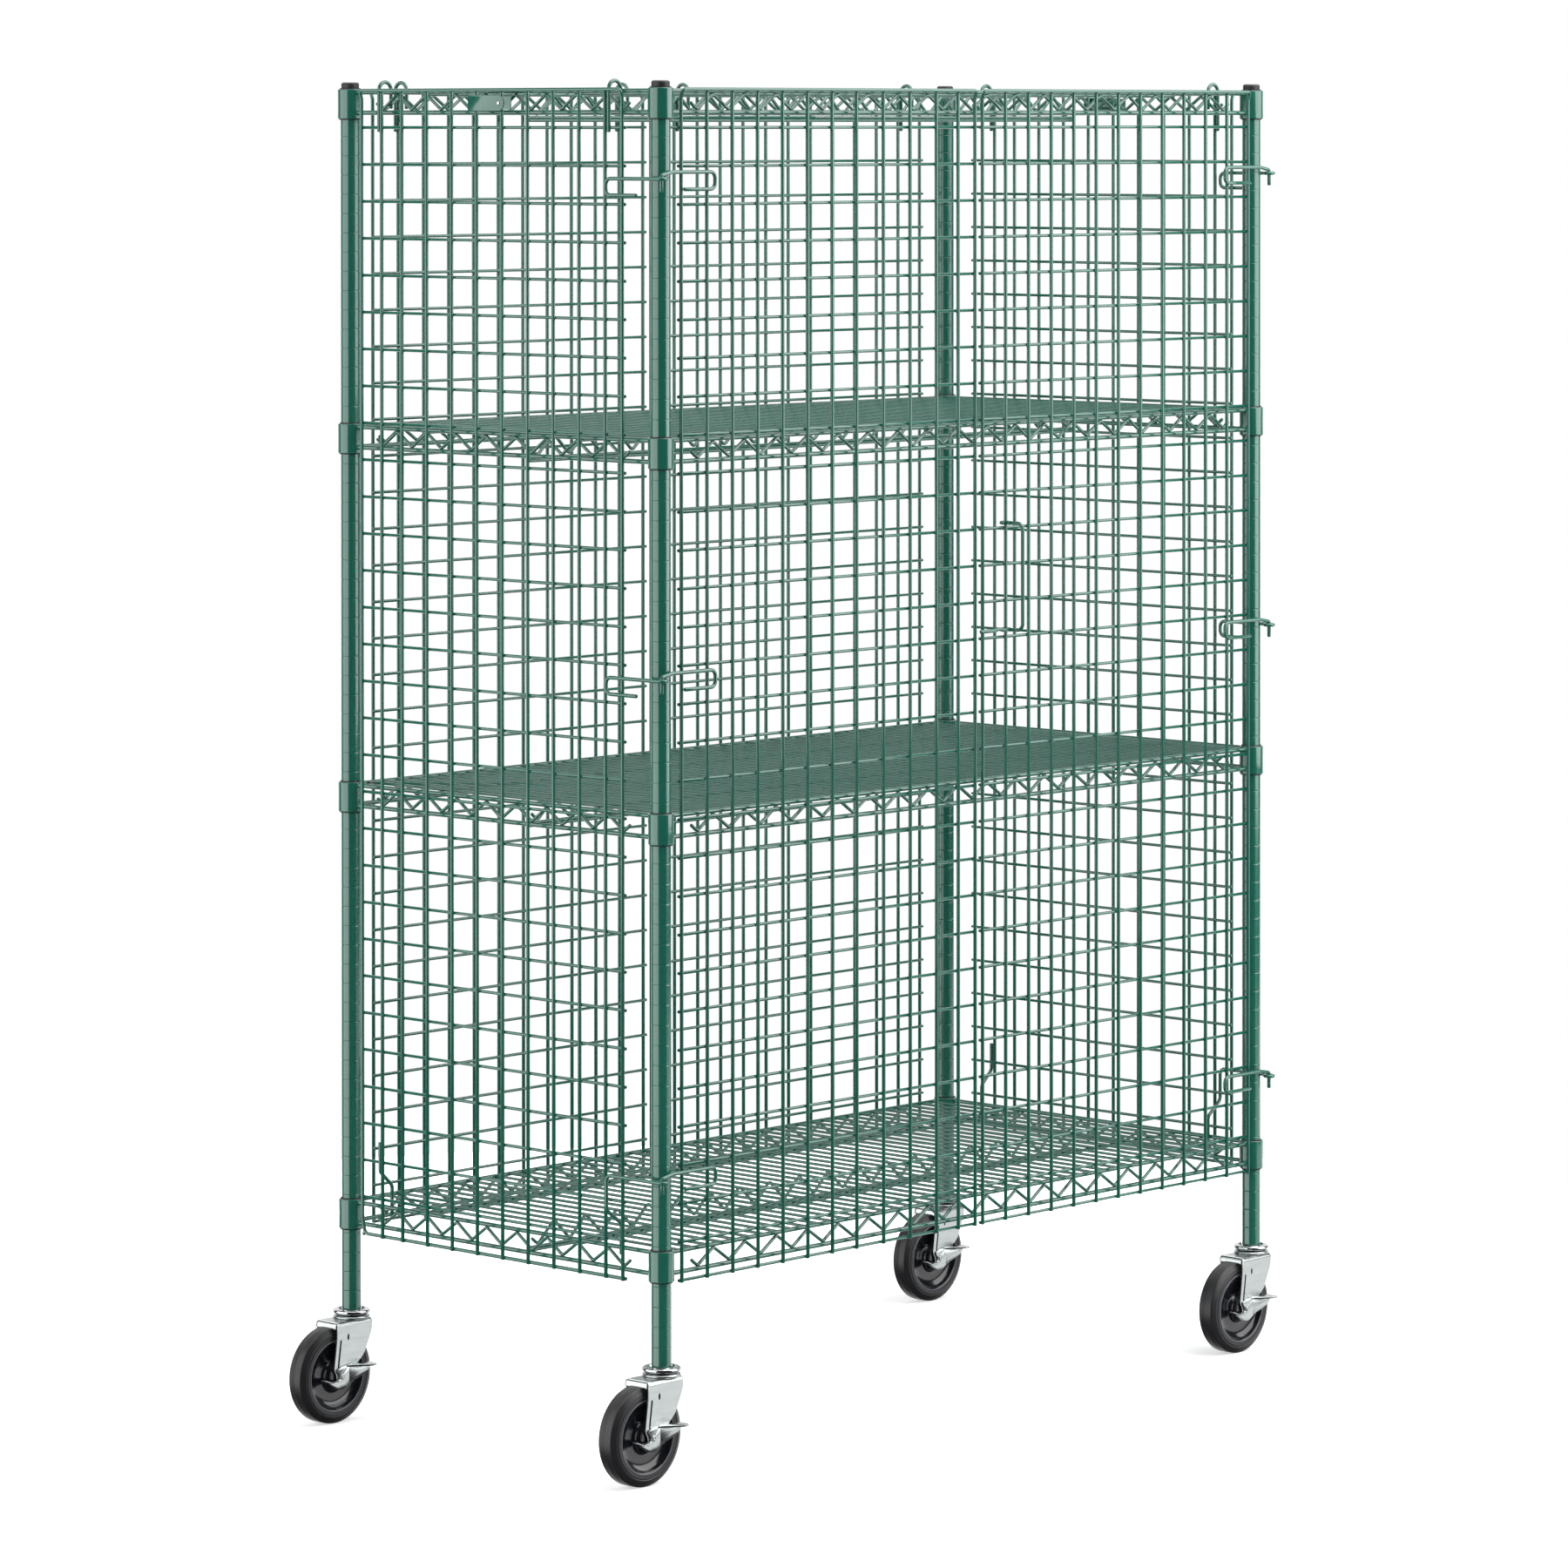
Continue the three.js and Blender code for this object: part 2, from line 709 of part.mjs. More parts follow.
function axleBolt() {
  const grip = forkWidth / 2 + seatGap;
  const frontGrip = grip + leverThickness + seatGap;
  const radius = axleDiameter / 2;
  const head = axleHeadDiameter / 2;
  const points = [
    [0, -frontGrip - axleHeadHeight],
    [head, -frontGrip - axleHeadHeight],
    [head, -frontGrip],
    [radius, -frontGrip],
    [radius, grip],
    [head, grip],
    [head, grip + axleHeadHeight],
    [0, grip + axleHeadHeight],
  ].map(([r, y]) => new THREE.Vector2(r, y));
  return solid(new THREE.LatheGeometry(points, eyeSides, Math.PI / eyeSides));
}

// Clearance hole for the axle, run along Y through the fork or the lever
function axleHole(length, x, z) {
  const radius = (axleDiameter / 2 + runningGap) * eyeCorner;
  const turnedBy = Math.PI / eyeSides;
  const hole = new THREE.CylinderGeometry(radius, radius, length, eyeSides, 1, false, turnedBy);
  return solid(hole.translate(x, 0, z));
}

function fork() {
  const rear = -casterTrail - forkTopRear;
  const axleX = -casterTrail;
  const foot = wheelRadius - forkFootDepth;
  const cheekOutline = [
    [rear, forkPlateTop],
    [rear - forkRearLean, foot + forkFootDepth / 2],
    [axleX - forkFootHalfWidth / 2, foot],
    [axleX + forkFootHalfWidth / 2, foot],
    [axleX + forkFootHalfWidth + forkThickness, wheelRadius],
    [forkTopFront / 2, forkPlateTop - (forkPlateTop - wheelRadius) / 2],
    [forkTopFront, forkPlateTop - forkTopFront / 2],
    [forkTopFront, forkPlateTop],
  ];
  const cheek = solid(plate(cheekOutline, forkThickness));
  const cheekLine = (forkWidth - forkThickness) / 2;
  const topLength = forkTopFront - rear;
  const race = turned([
    [0, forkPlateTop - weldDepth],
    [raceDiameter / 2, forkPlateTop - weldDepth],
    [raceDiameter / 2, forkPlateTop + raceHeight],
    [0, forkPlateTop + raceHeight],
  ]);
  const topWidth = forkWidth - forkThickness;
  const topMiddle = forkPlateTop - forkThickness / 2;
  const kingpinHole = turned([
    [0, forkPlateBottom - forkThickness],
    [kingpinDiameter / 2 + runningGap, forkPlateBottom - forkThickness],
    [kingpinDiameter / 2 + runningGap, postFoot],
    [0, postFoot],
  ]);
  const body = unite([
    cheek.translate([0, -cheekLine, 0]),
    cheek.translate([0, cheekLine, 0]),
    box(topLength, topWidth, forkThickness, rear + topLength / 2, 0, topMiddle),
    race,
  ]);
  return body.subtract(kingpinHole).subtract(axleHole(forkWidth * 2, axleX, wheelRadius));
}

// Kingpin, swivel ring and the stem that plugs into the post, turned as one piece
function stem() {
  const pinRadius = kingpinDiameter / 2;
  const headTop = forkPlateBottom - seatGap;
  const ringTop = swivelRingBottom + swivelRingHeight;
  const plugRadius = postBore - seatGap;
  return turned([
    [0, headTop - kingpinHeadHeight],
    [kingpinHeadDiameter / 2, headTop - kingpinHeadHeight],
    [kingpinHeadDiameter / 2, headTop],
    [pinRadius, headTop],
    [pinRadius, swivelRingBottom],
    [swivelRingDiameter / 2, swivelRingBottom],
    [swivelRingDiameter / 2, ringTop],
    [plugRadius, ringTop],
    [plugRadius, ringTop + stemDepth],
    [0, ringTop + stemDepth],
  ]);
}

// Brake lever beside the front cheek: it turns on the axle and carries a foot tab
function brakeLever() {
  const outline = [
    [leverReach, leverTabRise],
    [leverReach - leverTabRise, leverTabRise],
    [-leverThickness, axleHeadDiameter / 2],
    [-axleHeadDiameter / 2, 0],
    [-leverTailReach / 2, -leverTailDrop],
    [-leverTailReach, -leverTailDrop],
    [-leverTailReach / 2, -leverTailDrop - leverTailWidth],
    [0, -leverBossRadius - leverThickness],
    [leverBossRadius, -leverBossRadius],
    [leverReach, leverTabRise - leverBossRadius],
  ];
  const line = forkWidth / 2 + seatGap + leverThickness / 2;
  const tabLength = leverReach - leverTabRise;
  const tabY = -line - leverTabWidth / 2;
  const tailMiddle = -(leverTailReach + leverTailReach / 2) / 2;
  const body = unite([
    solid(plate(outline, leverThickness).translate(0, -line, 0)),
    box(tabLength, leverTabWidth + leverThickness, leverThickness,
      leverReach - tabLength / 2, tabY, leverTabRise - leverThickness / 2),
    box(leverTailReach / 2, leverTailWidth + leverThickness, leverThickness,
      tailMiddle, -line - leverTailWidth / 2, -leverTailDrop - leverThickness / 2),
  ]);
  return body.subtract(axleHole(forkWidth * 2, 0, 0));
}

// Assembly

const cage = new THREE.Group();

const corners = {
  front_left: [-postSpacingX / 2, -postSpacingY / 2],
  front_right: [postSpacingX / 2, -postSpacingY / 2],
  rear_left: [-postSpacingX / 2, postSpacingY / 2],
  rear_right: [postSpacingX / 2, postSpacingY / 2],
};

const postBody = post();
const capBody = postCap();
const sleeveBody = sleeve();
const forkBody = fork();
const stemBody = stem();
const wheelBody = wheel();
const axleBody = axleBolt();
const leverBody = brakeLever();

for (const [corner, [x, y]] of Object.entries(corners)) {
  cage.add(placed(part(`post_${corner}`, postBody, epoxyGreen), x, y, 0));
  cage.add(placed(part(`post_cap_${corner}`, capBody, capBlack), x, y, 0));
  for (const [level, height] of Object.entries(shelfLevels)) {
    cage.add(placed(part(`sleeve_${level}_${corner}`, sleeveBody, sleeveBlack), x, y, height));
  }
  const caster = placed(new THREE.Group(), x, y, 0);
  caster.add(part(`caster_stem_${corner}`, stemBody, chromePlate));
  caster.add(part(`caster_fork_${corner}`, forkBody, brightZinc));
  caster.add(placed(part(`wheel_${corner}`, wheelBody, treadGrey), -casterTrail, 0, wheelRadius));
  caster.add(placed(part(`axle_bolt_${corner}`, axleBody, brightZinc), -casterTrail, 0, wheelRadius));
  caster.add(placed(part(`brake_lever_${corner}`, leverBody, brightZinc), -casterTrail, 0, wheelRadius));
  cage.add(caster);
}

const shelfBody = shelf();
for (const [level, height] of Object.entries(shelfLevels)) {
  cage.add(placed(part(`shelf_${level}`, shelfBody, epoxyGreen), 0, 0, height));
}

// Turns a panel that faces -Y toward its own side of the cage
function facing(object, angle, distance) {
  object.rotation.z = angle;
  object.position.set(distance * Math.sin(angle), -distance * Math.cos(angle), topLevel);
  return object;
}

const halfX = postSpacingX / 2;
const halfY = postSpacingY / 2;
const backRightOuter = halfX - collarRadius - backRightClearance;
const backLeftOuter = halfX - collarRadius - backLeftClearance;
const backRightWidth = backRightOuter + backSeamOffset - backSeamGap / 2;
const backLeftWidth = backLeftOuter - backSeamOffset - backSeamGap / 2;
const backRight = backPanel(-backRightOuter, backRightWidth, evenCellShares);
const backLeft = backPanel(backLeftOuter, -backLeftWidth, backLeftCellShares);

const sidePanelLeft = part('side_panel_left', sidePanel(1), epoxyGreen);
const sidePanelRight = part('side_panel_right', sidePanel(-1), epoxyGreen);
cage.add(facing(sidePanelLeft, -Math.PI / 2, halfX));
cage.add(facing(sidePanelRight, Math.PI / 2, halfX));
cage.add(facing(part('back_panel_right', backRight, epoxyGreen), Math.PI, halfY));
cage.add(facing(part('back_panel_left', backLeft, epoxyGreen), Math.PI, halfY));
cage.add(facing(part('door_left', door(-1), epoxyGreen), 0, halfY));
cage.add(facing(part('door_right', door(1), epoxyGreen), 0, halfY));

const latchPivot = doorPlaces(1).at(-2);
const latchLevel = topLevel + rowPlaces[latchRowCount] + latchTopRise;
const latchLine = -halfY - doorOffset - uprightLift;
cage.add(placed(part('latch_handle', latch(), epoxyGreen), latchPivot, latchLine, latchLevel));

const tagSeat = panelOffset + uprightLift + uprightHalf + seatGap + tagThickness - tagLap;
for (const [side, toFront] of [['left', 1], ['right', -1]]) {
  const body = part(`tag_plate_${side}`, tagPlate(toFront), epoxyGreen);
  const tag = facing(body, (-toFront * Math.PI) / 2, halfX + tagSeat);
  tag.position.y += tagOffset;
  tag.position.z -= tagDrop;
  cage.add(tag);
}

// The origin lies on the floor under the middle of the whole outline
const outline = new THREE.Box3().setFromObject(cage);
const middle = outline.getCenter(new THREE.Vector3());
cage.position.set(-middle.x, -middle.y, -outline.min.z);

const model = new THREE.Group();
model.add(cage);

export default model;
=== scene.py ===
import math

import bpy
import numpy as np
from mathutils import Matrix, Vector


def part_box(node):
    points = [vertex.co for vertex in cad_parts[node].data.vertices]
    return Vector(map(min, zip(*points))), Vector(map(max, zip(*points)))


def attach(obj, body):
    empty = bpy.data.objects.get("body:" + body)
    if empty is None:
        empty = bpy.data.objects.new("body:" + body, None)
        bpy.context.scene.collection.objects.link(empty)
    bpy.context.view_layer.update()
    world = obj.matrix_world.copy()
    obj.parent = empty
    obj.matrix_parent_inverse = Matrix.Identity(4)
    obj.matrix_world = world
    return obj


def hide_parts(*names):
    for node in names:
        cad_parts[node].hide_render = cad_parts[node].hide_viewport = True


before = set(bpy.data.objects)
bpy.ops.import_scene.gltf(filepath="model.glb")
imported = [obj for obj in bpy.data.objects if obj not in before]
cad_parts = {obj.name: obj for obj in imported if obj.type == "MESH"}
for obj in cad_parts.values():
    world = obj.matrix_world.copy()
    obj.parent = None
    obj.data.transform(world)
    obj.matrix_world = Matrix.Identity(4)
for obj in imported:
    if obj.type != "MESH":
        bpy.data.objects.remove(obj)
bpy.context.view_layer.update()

# Lengths are in millimetres in the frame's own directions; meshes are put in metres.
millimetre = 0.001


# surfaces: each one is (points, loops, sizes), worked out as whole arrays

def unit(vectors):
    # v / |v|
    return vectors / np.linalg.norm(vectors, axis=-1, keepdims=True)


def beside(*columns):
    # coordinates of one kind each, spread to one shape and put side by side as points
    return np.stack(np.broadcast_arrays(*columns), -1)


def rounded(corners, radii, steps=6):
    # every inner corner becomes an arc that touches both its legs:
    # centre = corner + bisector * radius / sin(half angle),
    # arc = centre + (start sin((1-t) turn) + end sin(t turn)) / sin(turn)
    corners = np.asarray(corners, float)
    radii = np.broadcast_to(np.asarray(radii, float), (len(corners) - 2,))[:, None]
    back = unit(corners[:-2] - corners[1:-1])
    ahead = unit(corners[2:] - corners[1:-1])
    half = 0.5 * np.arccos(np.clip((back * ahead).sum(-1, keepdims=True), -1, 0.9999))
    centre = corners[1:-1] + unit(back + ahead) * radii / np.sin(half)
    start = corners[1:-1] + back * radii / np.tan(half) - centre
    end = corners[1:-1] + ahead * radii / np.tan(half) - centre
    turn = (math.pi - 2 * half)[:, None]
    t = np.linspace(0, 1, steps + 1)[None, :, None]
    arcs = (start[:, None] * np.sin((1 - t) * turn) + end[:, None] * np.sin(t * turn)) / np.sin(turn)
    arcs = (arcs + centre[:, None]).reshape(-1, corners.shape[1])
    return np.concatenate([corners[:1], arcs, corners[-1:]])


def throughPoints(knots, steps=8, closed=False):
    # Catmull-Rom curve: p(t) = half the sum of the four neighbours with their cubic weights
    knots = np.asarray(knots, float)
    if closed:
        a, b, c, d = (np.roll(knots, shift, 0) for shift in (1, 0, -1, -2))
    else:
        padded = np.concatenate([2 * knots[:1] - knots[1:2], knots, 2 * knots[-1:] - knots[-2:-1]])
        a, b, c, d = padded[:-3], padded[1:-2], padded[2:-1], padded[3:]
    t = np.linspace(0, 1, steps, endpoint=False)[None, :, None]
    a, b, c, d = a[:, None], b[:, None], c[:, None], d[:, None]
    curve = 0.5 * (2 * b + (c - a) * t + (2 * a - 5 * b + 4 * c - d) * t ** 2
                   + (3 * b - a - 3 * c + d) * t ** 3)
    curve = curve.reshape(-1, knots.shape[1])
    return curve if closed else np.concatenate([curve, knots[-1:]])


def wrapped(rings, closed=False):
    # four-sided faces between neighbouring rings; open rows of rings get one face over each end
    rows, count, _ = rings.shape
    row, place = np.meshgrid(np.arange(rows if closed else rows - 1), np.arange(count), indexing="ij")
    ahead, after = (row + 1) % rows, (place + 1) % count
    quads = np.stack([row * count + place, row * count + after,
                      ahead * count + after, ahead * count + place], -1)
    loops, sizes = [quads.ravel()], [np.full(quads.shape[0] * quads.shape[1], 4)]
    if not closed:
        loops += [np.arange(count)[::-1], np.arange(count) + (rows - 1) * count]
        sizes += [[count], [count]]
    return rings.reshape(-1, 3), np.concatenate(loops), np.concatenate(sizes)


def sheet(points):
    # an open two-parameter grid of points, one four-sided face per cell
    rows, columns, _ = points.shape
    row, place = np.meshgrid(np.arange(rows - 1), np.arange(columns - 1), indexing="ij")
    corner = row * columns + place
    quads = np.stack([corner, corner + 1, corner + columns + 1, corner + columns], -1)
    return points.reshape(-1, 3), quads.ravel(), np.full(corner.size, 4)


def wire(path, radius, sides=12, reference=(0, 1, 0), tip=0.45):
    # a circle carried along a path: centre + radius (cos a across + sin a up),
    # each end closed by rings of radius cos b set back by tip sin b
    path = np.array(path, float)
    legs = unit(np.diff(path, axis=0))
    along = unit(np.concatenate([legs[:1], legs[:-1] + legs[1:], legs[-1:]]))
    path[0] += along[0] * tip * radius
    path[-1] -= along[-1] * tip * radius
    rise = np.radians([72, 36])
    back = np.sin(rise)[:, None] * tip * radius
    centres = np.concatenate([path[0] - along[0] * back, path, path[-1] + along[-1] * back[::-1]])
    along = np.concatenate([along[[0, 0]], along, along[[-1, -1]]])
    reach = np.concatenate([np.cos(rise), np.ones(len(path)), np.cos(rise)[::-1]]) * radius
    across = unit(np.cross(np.asarray(reference, float), along))
    up = np.cross(along, across)
    angle = np.linspace(0, 2 * math.pi, sides, endpoint=False)[None, :, None]
    rings = np.cos(angle) * across[:, None] + np.sin(angle) * up[:, None]
    return wrapped(centres[:, None] + reach[:, None, None] * rings)


def turned(profile, sides=40, closed=False):
    # a profile of (radius, height) spun about Z: (r cos a, r sin a, z)
    profile = np.asarray(profile, float)
    angle = np.linspace(0, 2 * math.pi, sides, endpoint=False)[None, :]
    radius, height = profile[:, :1], profile[:, 1:]
    return wrapped(beside(radius * np.cos(angle), radius * np.sin(angle), height), closed)


def carriedRound(profile, fromAngle, toAngle, steps):
    # a closed profile of (radius, height) carried about Z between two angles, closed at both ends
    profile = np.asarray(profile, float)[None]
    angle = np.radians(np.linspace(fromAngle, toAngle, steps + 1))[:, None]
    radius, height = profile[..., 0], profile[..., 1]
    return wrapped(beside(radius * np.cos(angle), radius * np.sin(angle), height))


def plateFrom(outline, thickness):
    # a closed outline of (x, z) carried along Y by the thickness, its rim eased at both faces
    outline = np.asarray(outline, float)
    following = np.roll(outline, -1, 0) - np.roll(outline, 1, 0)
    outward = unit(beside(following[:, 1], -following[:, 0]))
    area = np.sum(outline[:, 0] * np.roll(outline[:, 1], -1) - outline[:, 1] * np.roll(outline[:, 0], -1))
    outward = outward if area > 0 else -outward
    ease = np.array([0.35, 0.1, 0, 0, 0.1, 0.35]) * thickness * 0.5
    depth = np.array([-0.5, -0.42, -0.3, 0.3, 0.42, 0.5]) * thickness
    inset = outline[None] - outward[None] * ease[:, None, None]
    rings = beside(inset[..., 0], depth[:, None], inset[..., 1])
    return wrapped(rings if area < 0 else rings[:, ::-1])


def moved(part, offset):
    return part[0] + np.asarray(offset, float), part[1], part[2]


def spun(part, degrees):
    # turned about Z
    angle = math.radians(degrees)
    cos, sin = math.cos(angle), math.sin(angle)
    matrix = np.array([[cos, -sin, 0], [sin, cos, 0], [0, 0, 1]])
    return part[0] @ matrix.T, part[1], part[2]


def laidOnY(part):
    # Z laid along Y, so that height points out toward -Y
    return part[0][:, [0, 2, 1]] * np.array([1, -1, 1]), part[1], part[2]


def repeated(part, places):
    # one shape at many places
    points, loops, sizes = part
    places = np.asarray(places, float)
    copies = len(places)
    allPoints = (points[None] + places[:, None]).reshape(-1, 3)
    allLoops = (loops[None] + np.arange(copies)[:, None] * len(points)).ravel()
    return allPoints, allLoops, np.tile(sizes, copies)


def joined(*parts):
    starts = np.cumsum([0] + [len(part[0]) for part in parts[:-1]])
    return (np.concatenate([part[0] for part in parts]),
            np.concatenate([part[1] + start for part, start in zip(parts, starts)]),
            np.concatenate([part[2] for part in parts]))


def weldSpot(width, depth, height, sides=8):
    # a small ellipsoid of weld: semicircle profile spun, then scaled
    lift = np.radians([-68, -30, 30, 68])
    points, loops, sizes = turned(beside(np.cos(lift), np.sin(lift)), sides)
    return points * np.array([width, depth, height]), loops, sizes


def camel(node):
    first, *rest = node.split("_")
    return first + "".join(word.capitalize() for word in rest)


sharpAngle = 38


def dress(name, part, material=None):
    points, loops, sizes = part
    mesh = bpy.data.meshes.new(name)
    mesh.vertices.add(len(points))
    mesh.vertices.foreach_set("co", (points * millimetre).astype(np.float32).ravel())
    mesh.loops.add(len(loops))
    mesh.loops.foreach_set("vertex_index", loops.astype(np.int32))
    mesh.polygons.add(len(sizes))
    mesh.polygons.foreach_set("loop_start", (np.cumsum(sizes) - sizes).astype(np.int32))
    mesh.update(calc_edges=True)
    mesh.validate()
    mesh.shade_smooth()
    mesh.set_sharp_from_angle(angle=math.radians(sharpAngle))
    if material:
        mesh.materials.append(material)
    piece = bpy.data.objects.new(name, mesh)
    bpy.context.scene.collection.objects.link(piece)
    return piece


# materials

def fromHex(code):
    # sRGB to linear
    values = [int(code[i:i + 2], 16) / 255 for i in (0, 2, 4)]
    return (*[v / 12.92 if v <= 0.04045 else ((v + 0.055) / 1.055) ** 2.4 for v in values], 1)


def feed(tree, sockets, values):
    # another node's output is linked to its socket; any other value is set on it
    for key, value in values.items():
        if isinstance(value, bpy.types.NodeSocket):
            tree.links.new(value, sockets[key])
        else:
            sockets[key].default_value = value


def addNode(tree, kind, values=None, **settings):
    node = tree.nodes.new("ShaderNode" + kind)
    for key, value in settings.items():
        setattr(node, key, value)
    feed(tree, node.inputs, values or {})
    return node


def combined(tree, operation, *values):
    # one Math node over its inputs in order
    return addNode(tree, "Math", dict(enumerate(values)), operation=operation).outputs[0]


def mixed(tree, share, first, second):
    # colour = first + (second - first) share
    return addNode(tree, "Mix", {0: share, 6: first, 7: second}, data_type="RGBA").outputs[2]


def newGroup(name, inputs, outputs):
    # inputs are (label, kind, value); gives the group, what enters it and what leaves it
    group = bpy.data.node_groups.new(name, "ShaderNodeTree")
    for label, kind, value in inputs:
        socket = group.interface.new_socket(label, in_out="INPUT", socket_type="NodeSocket" + kind)
        if value is not None:
            socket.default_value = value
    for label, kind in outputs:
        group.interface.new_socket(label, in_out="OUTPUT", socket_type="NodeSocket" + kind)
    return group, group.nodes.new("NodeGroupInput").outputs, group.nodes.new("NodeGroupOutput").inputs


def newMaterial(name):
    material = bpy.data.materials.new(name)
    material.use_nodes = True
    return material, material.node_tree, material.node_tree.nodes["Principled BSDF"].inputs


middleGrey = (0.5, 0.5, 0.5, 1)


def makeToneGroup():
    # broad drift of a finish: colour = mix(base, tint, noise share), roughness = base + (noise - half) spread
    group, entry, result = newGroup(
        "toneDrift",
        [("Vector", "Vector", None), ("Base", "Color", middleGrey), ("Tint", "Color", middleGrey),
         ("Scale", "Float", 12.0), ("Share", "Float", 0.3), ("Roughness", "Float", 0.4),
         ("Spread", "Float", 0.1)],
        [("Color", "Color"), ("Roughness", "Float")])
    noise = addNode(group, "TexNoise", {"Vector": entry["Vector"], "Scale": entry["Scale"],
                                        "Detail": 4.0, "Roughness": 0.55}).outputs["Fac"]
    amount = combined(group, "MULTIPLY", noise, entry["Share"])
    centred = combined(group, "SUBTRACT", noise, 0.5)
    feed(group, result, {
        "Color": mixed(group, amount, entry["Base"], entry["Tint"]),
        "Roughness": combined(group, "MULTIPLY_ADD", centred, entry["Spread"], entry["Roughness"])})
    return group


def makeGrainGroup():
    # fine surface relief: height = fine noise + share of a coarser noise
    group, entry, result = newGroup(
        "surfaceGrain",
        [("Vector", "Vector", None), ("Fine", "Float", 900.0), ("Coarse", "Float", 220.0),
         ("Coarse Share", "Float", 0.5)],
        [("Height", "Float")])
    fine, coarse = (addNode(group, "TexNoise", {"Vector": entry["Vector"], "Scale": entry[scale],
                                                "Detail": detail}).outputs["Fac"]
                    for scale, detail in (("Fine", 2.0), ("Coarse", 1.0)))
    feed(group, result, {"Height": combined(group, "MULTIPLY_ADD", coarse, entry["Coarse Share"], fine)})
    return group


def makeDustGroup():
    # pale film where a surface faces up: share = amount * up-facing normal * patchy noise
    group, entry, result = newGroup(
        "dustFilm",
        [("Vector", "Vector", None), ("Color", "Color", middleGrey), ("Roughness", "Float", 0.4),
         ("Amount", "Float", 0.1)],
        [("Color", "Color"), ("Roughness", "Float")])
    normal = addNode(group, "NewGeometry").outputs["Normal"]
    upward = addNode(group, "SeparateXYZ", {0: normal}).outputs["Z"]
    lying = addNode(group, "MapRange", {"Value": upward, "From Min": 0.45, "From Max": 0.95})
    patches = addNode(group, "TexNoise", {"Vector": entry["Vector"], "Scale": 35.0, "Detail": 3.0})
    patchy = combined(group, "MULTIPLY", lying.outputs["Result"], patches.outputs["Fac"])
    share = combined(group, "MULTIPLY", patchy, entry["Amount"])
    feed(group, result, {
        "Color": mixed(group, share, entry["Color"], fromHex("b9b6ae")),
        "Roughness": combined(group, "MULTIPLY_ADD", share, 0.5, entry["Roughness"])})
    return group


toneDrift, surfaceGrain, dustFilm = makeToneGroup(), makeGrainGroup(), makeDustGroup()

finishes = {
    "epoxyGreen": dict(base="13594a", tint="1a6553", scale=9, share=0.6, roughness=0.17, spread=0.08,
                       fine=1400, coarse=260, coarseShare=1.2, relief=0.04, depth=0.0004, dust=0.05,
                       specular=0.9, coat=0.4, coatRoughness=0.08),
    "capBlack": dict(base="1a1b1c", tint="2b2c2d", scale=60, share=0.6, roughness=0.5, spread=0.2,
                     fine=2200, coarse=700, coarseShare=0.6, relief=0.16, depth=0.0003, dust=0.45),
    "sleeveBlack": dict(base="151718", tint="242628", scale=50, share=0.5, roughness=0.55, spread=0.2,
                        fine=2000, coarse=500, coarseShare=0.6, relief=0.14, depth=0.0003, dust=0.2),
    "treadGrey": dict(base="1a1a1d", tint="262629", scale=45, share=0.7, roughness=0.38, spread=0.2,
                      fine=1700, coarse=420, coarseShare=0.8, relief=0.16, depth=0.0004, dust=0.16),
    "coreBlack": dict(base="0f1016", tint="181a22", scale=30, share=0.6, roughness=0.17, spread=0.08,
                      fine=900, coarse=200, coarseShare=1.0, relief=0.03, depth=0.0004, dust=0.06,
                      coat=0.5, coatRoughness=0.1),
    # the rim bead's lighter grey is a painted highlight along the core's edge
    "coreRim": dict(base="63666f", tint="7b7e87", scale=80, share=0.7, roughness=0.3, spread=0.12,
                    fine=900, coarse=200, coarseShare=0.6, relief=0.03, depth=0.0004, dust=0.0),
    "brightZinc": dict(base="c6cbca", tint="b4baba", scale=32, share=0.8, roughness=0.25, spread=0.12,
                       fine=1500, coarse=320, coarseShare=0.7, relief=0.04, depth=0.0003, dust=0.04,
                       metallic=1.0),
    "swivelChrome": dict(base="d9dbdd", tint="c2c6cb", scale=40, share=0.5, roughness=0.1, spread=0.08,
                         fine=800, coarse=200, coarseShare=0.5, relief=0.02, depth=0.0002, dust=0.05,
                         metallic=1.0),
}


def makeFinish(name, values, streaks=None):
    material, tree, shader = newMaterial(name)
    place = streaked = addNode(tree, "TexCoord").outputs["Object"]
    if streaks:
        streaked = addNode(tree, "Mapping", {"Vector": place, "Scale": streaks}).outputs["Vector"]
    tone = addNode(tree, "Group", {
        "Vector": streaked, "Base": fromHex(values["base"]), "Tint": fromHex(values["tint"]),
        "Scale": values["scale"], "Share": values["share"], "Roughness": values["roughness"],
        "Spread": values["spread"]}, node_tree=toneDrift).outputs
    grain = addNode(tree, "Group", {
        "Vector": place, "Fine": values["fine"], "Coarse": values["coarse"],
        "Coarse Share": values["coarseShare"]}, node_tree=surfaceGrain).outputs
    dust = addNode(tree, "Group", {
        "Vector": place, "Amount": values["dust"], "Color": tone["Color"],
        "Roughness": tone["Roughness"]}, node_tree=dustFilm).outputs
    bump = addNode(tree, "Bump", {"Strength": values["relief"], "Distance": values["depth"],
                                  "Height": grain["Height"]}).outputs
    feed(tree, shader, {
        "Base Color": dust["Color"], "Roughness": dust["Roughness"], "Normal": bump["Normal"],
        "Metallic": values.get("metallic", 0.0), "Specular IOR Level": values.get("specular", 0.5),
        "Coat Weight": values.get("coat", 0.0), "Coat Roughness": values.get("coatRoughness", 0.1)})
    return material


materials = {name: makeFinish(name, values, (1, 1, 6) if name == "brightZinc" else None)
             for name, values in finishes.items()}
print("finishes made:", len(materials))


def cover(node, part, finish="epoxyGreen", body="cage_frame", name=None):
    # a piece that takes a CAD node's place on its body
    piece = dress(camel(name or node), part, materials[finish])
    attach(piece, body)
    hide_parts(node)


# where the frame's own pieces stand

def nodeBox(node):
    low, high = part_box(node)
    return np.array(low) / millimetre, np.array(high) / millimetre


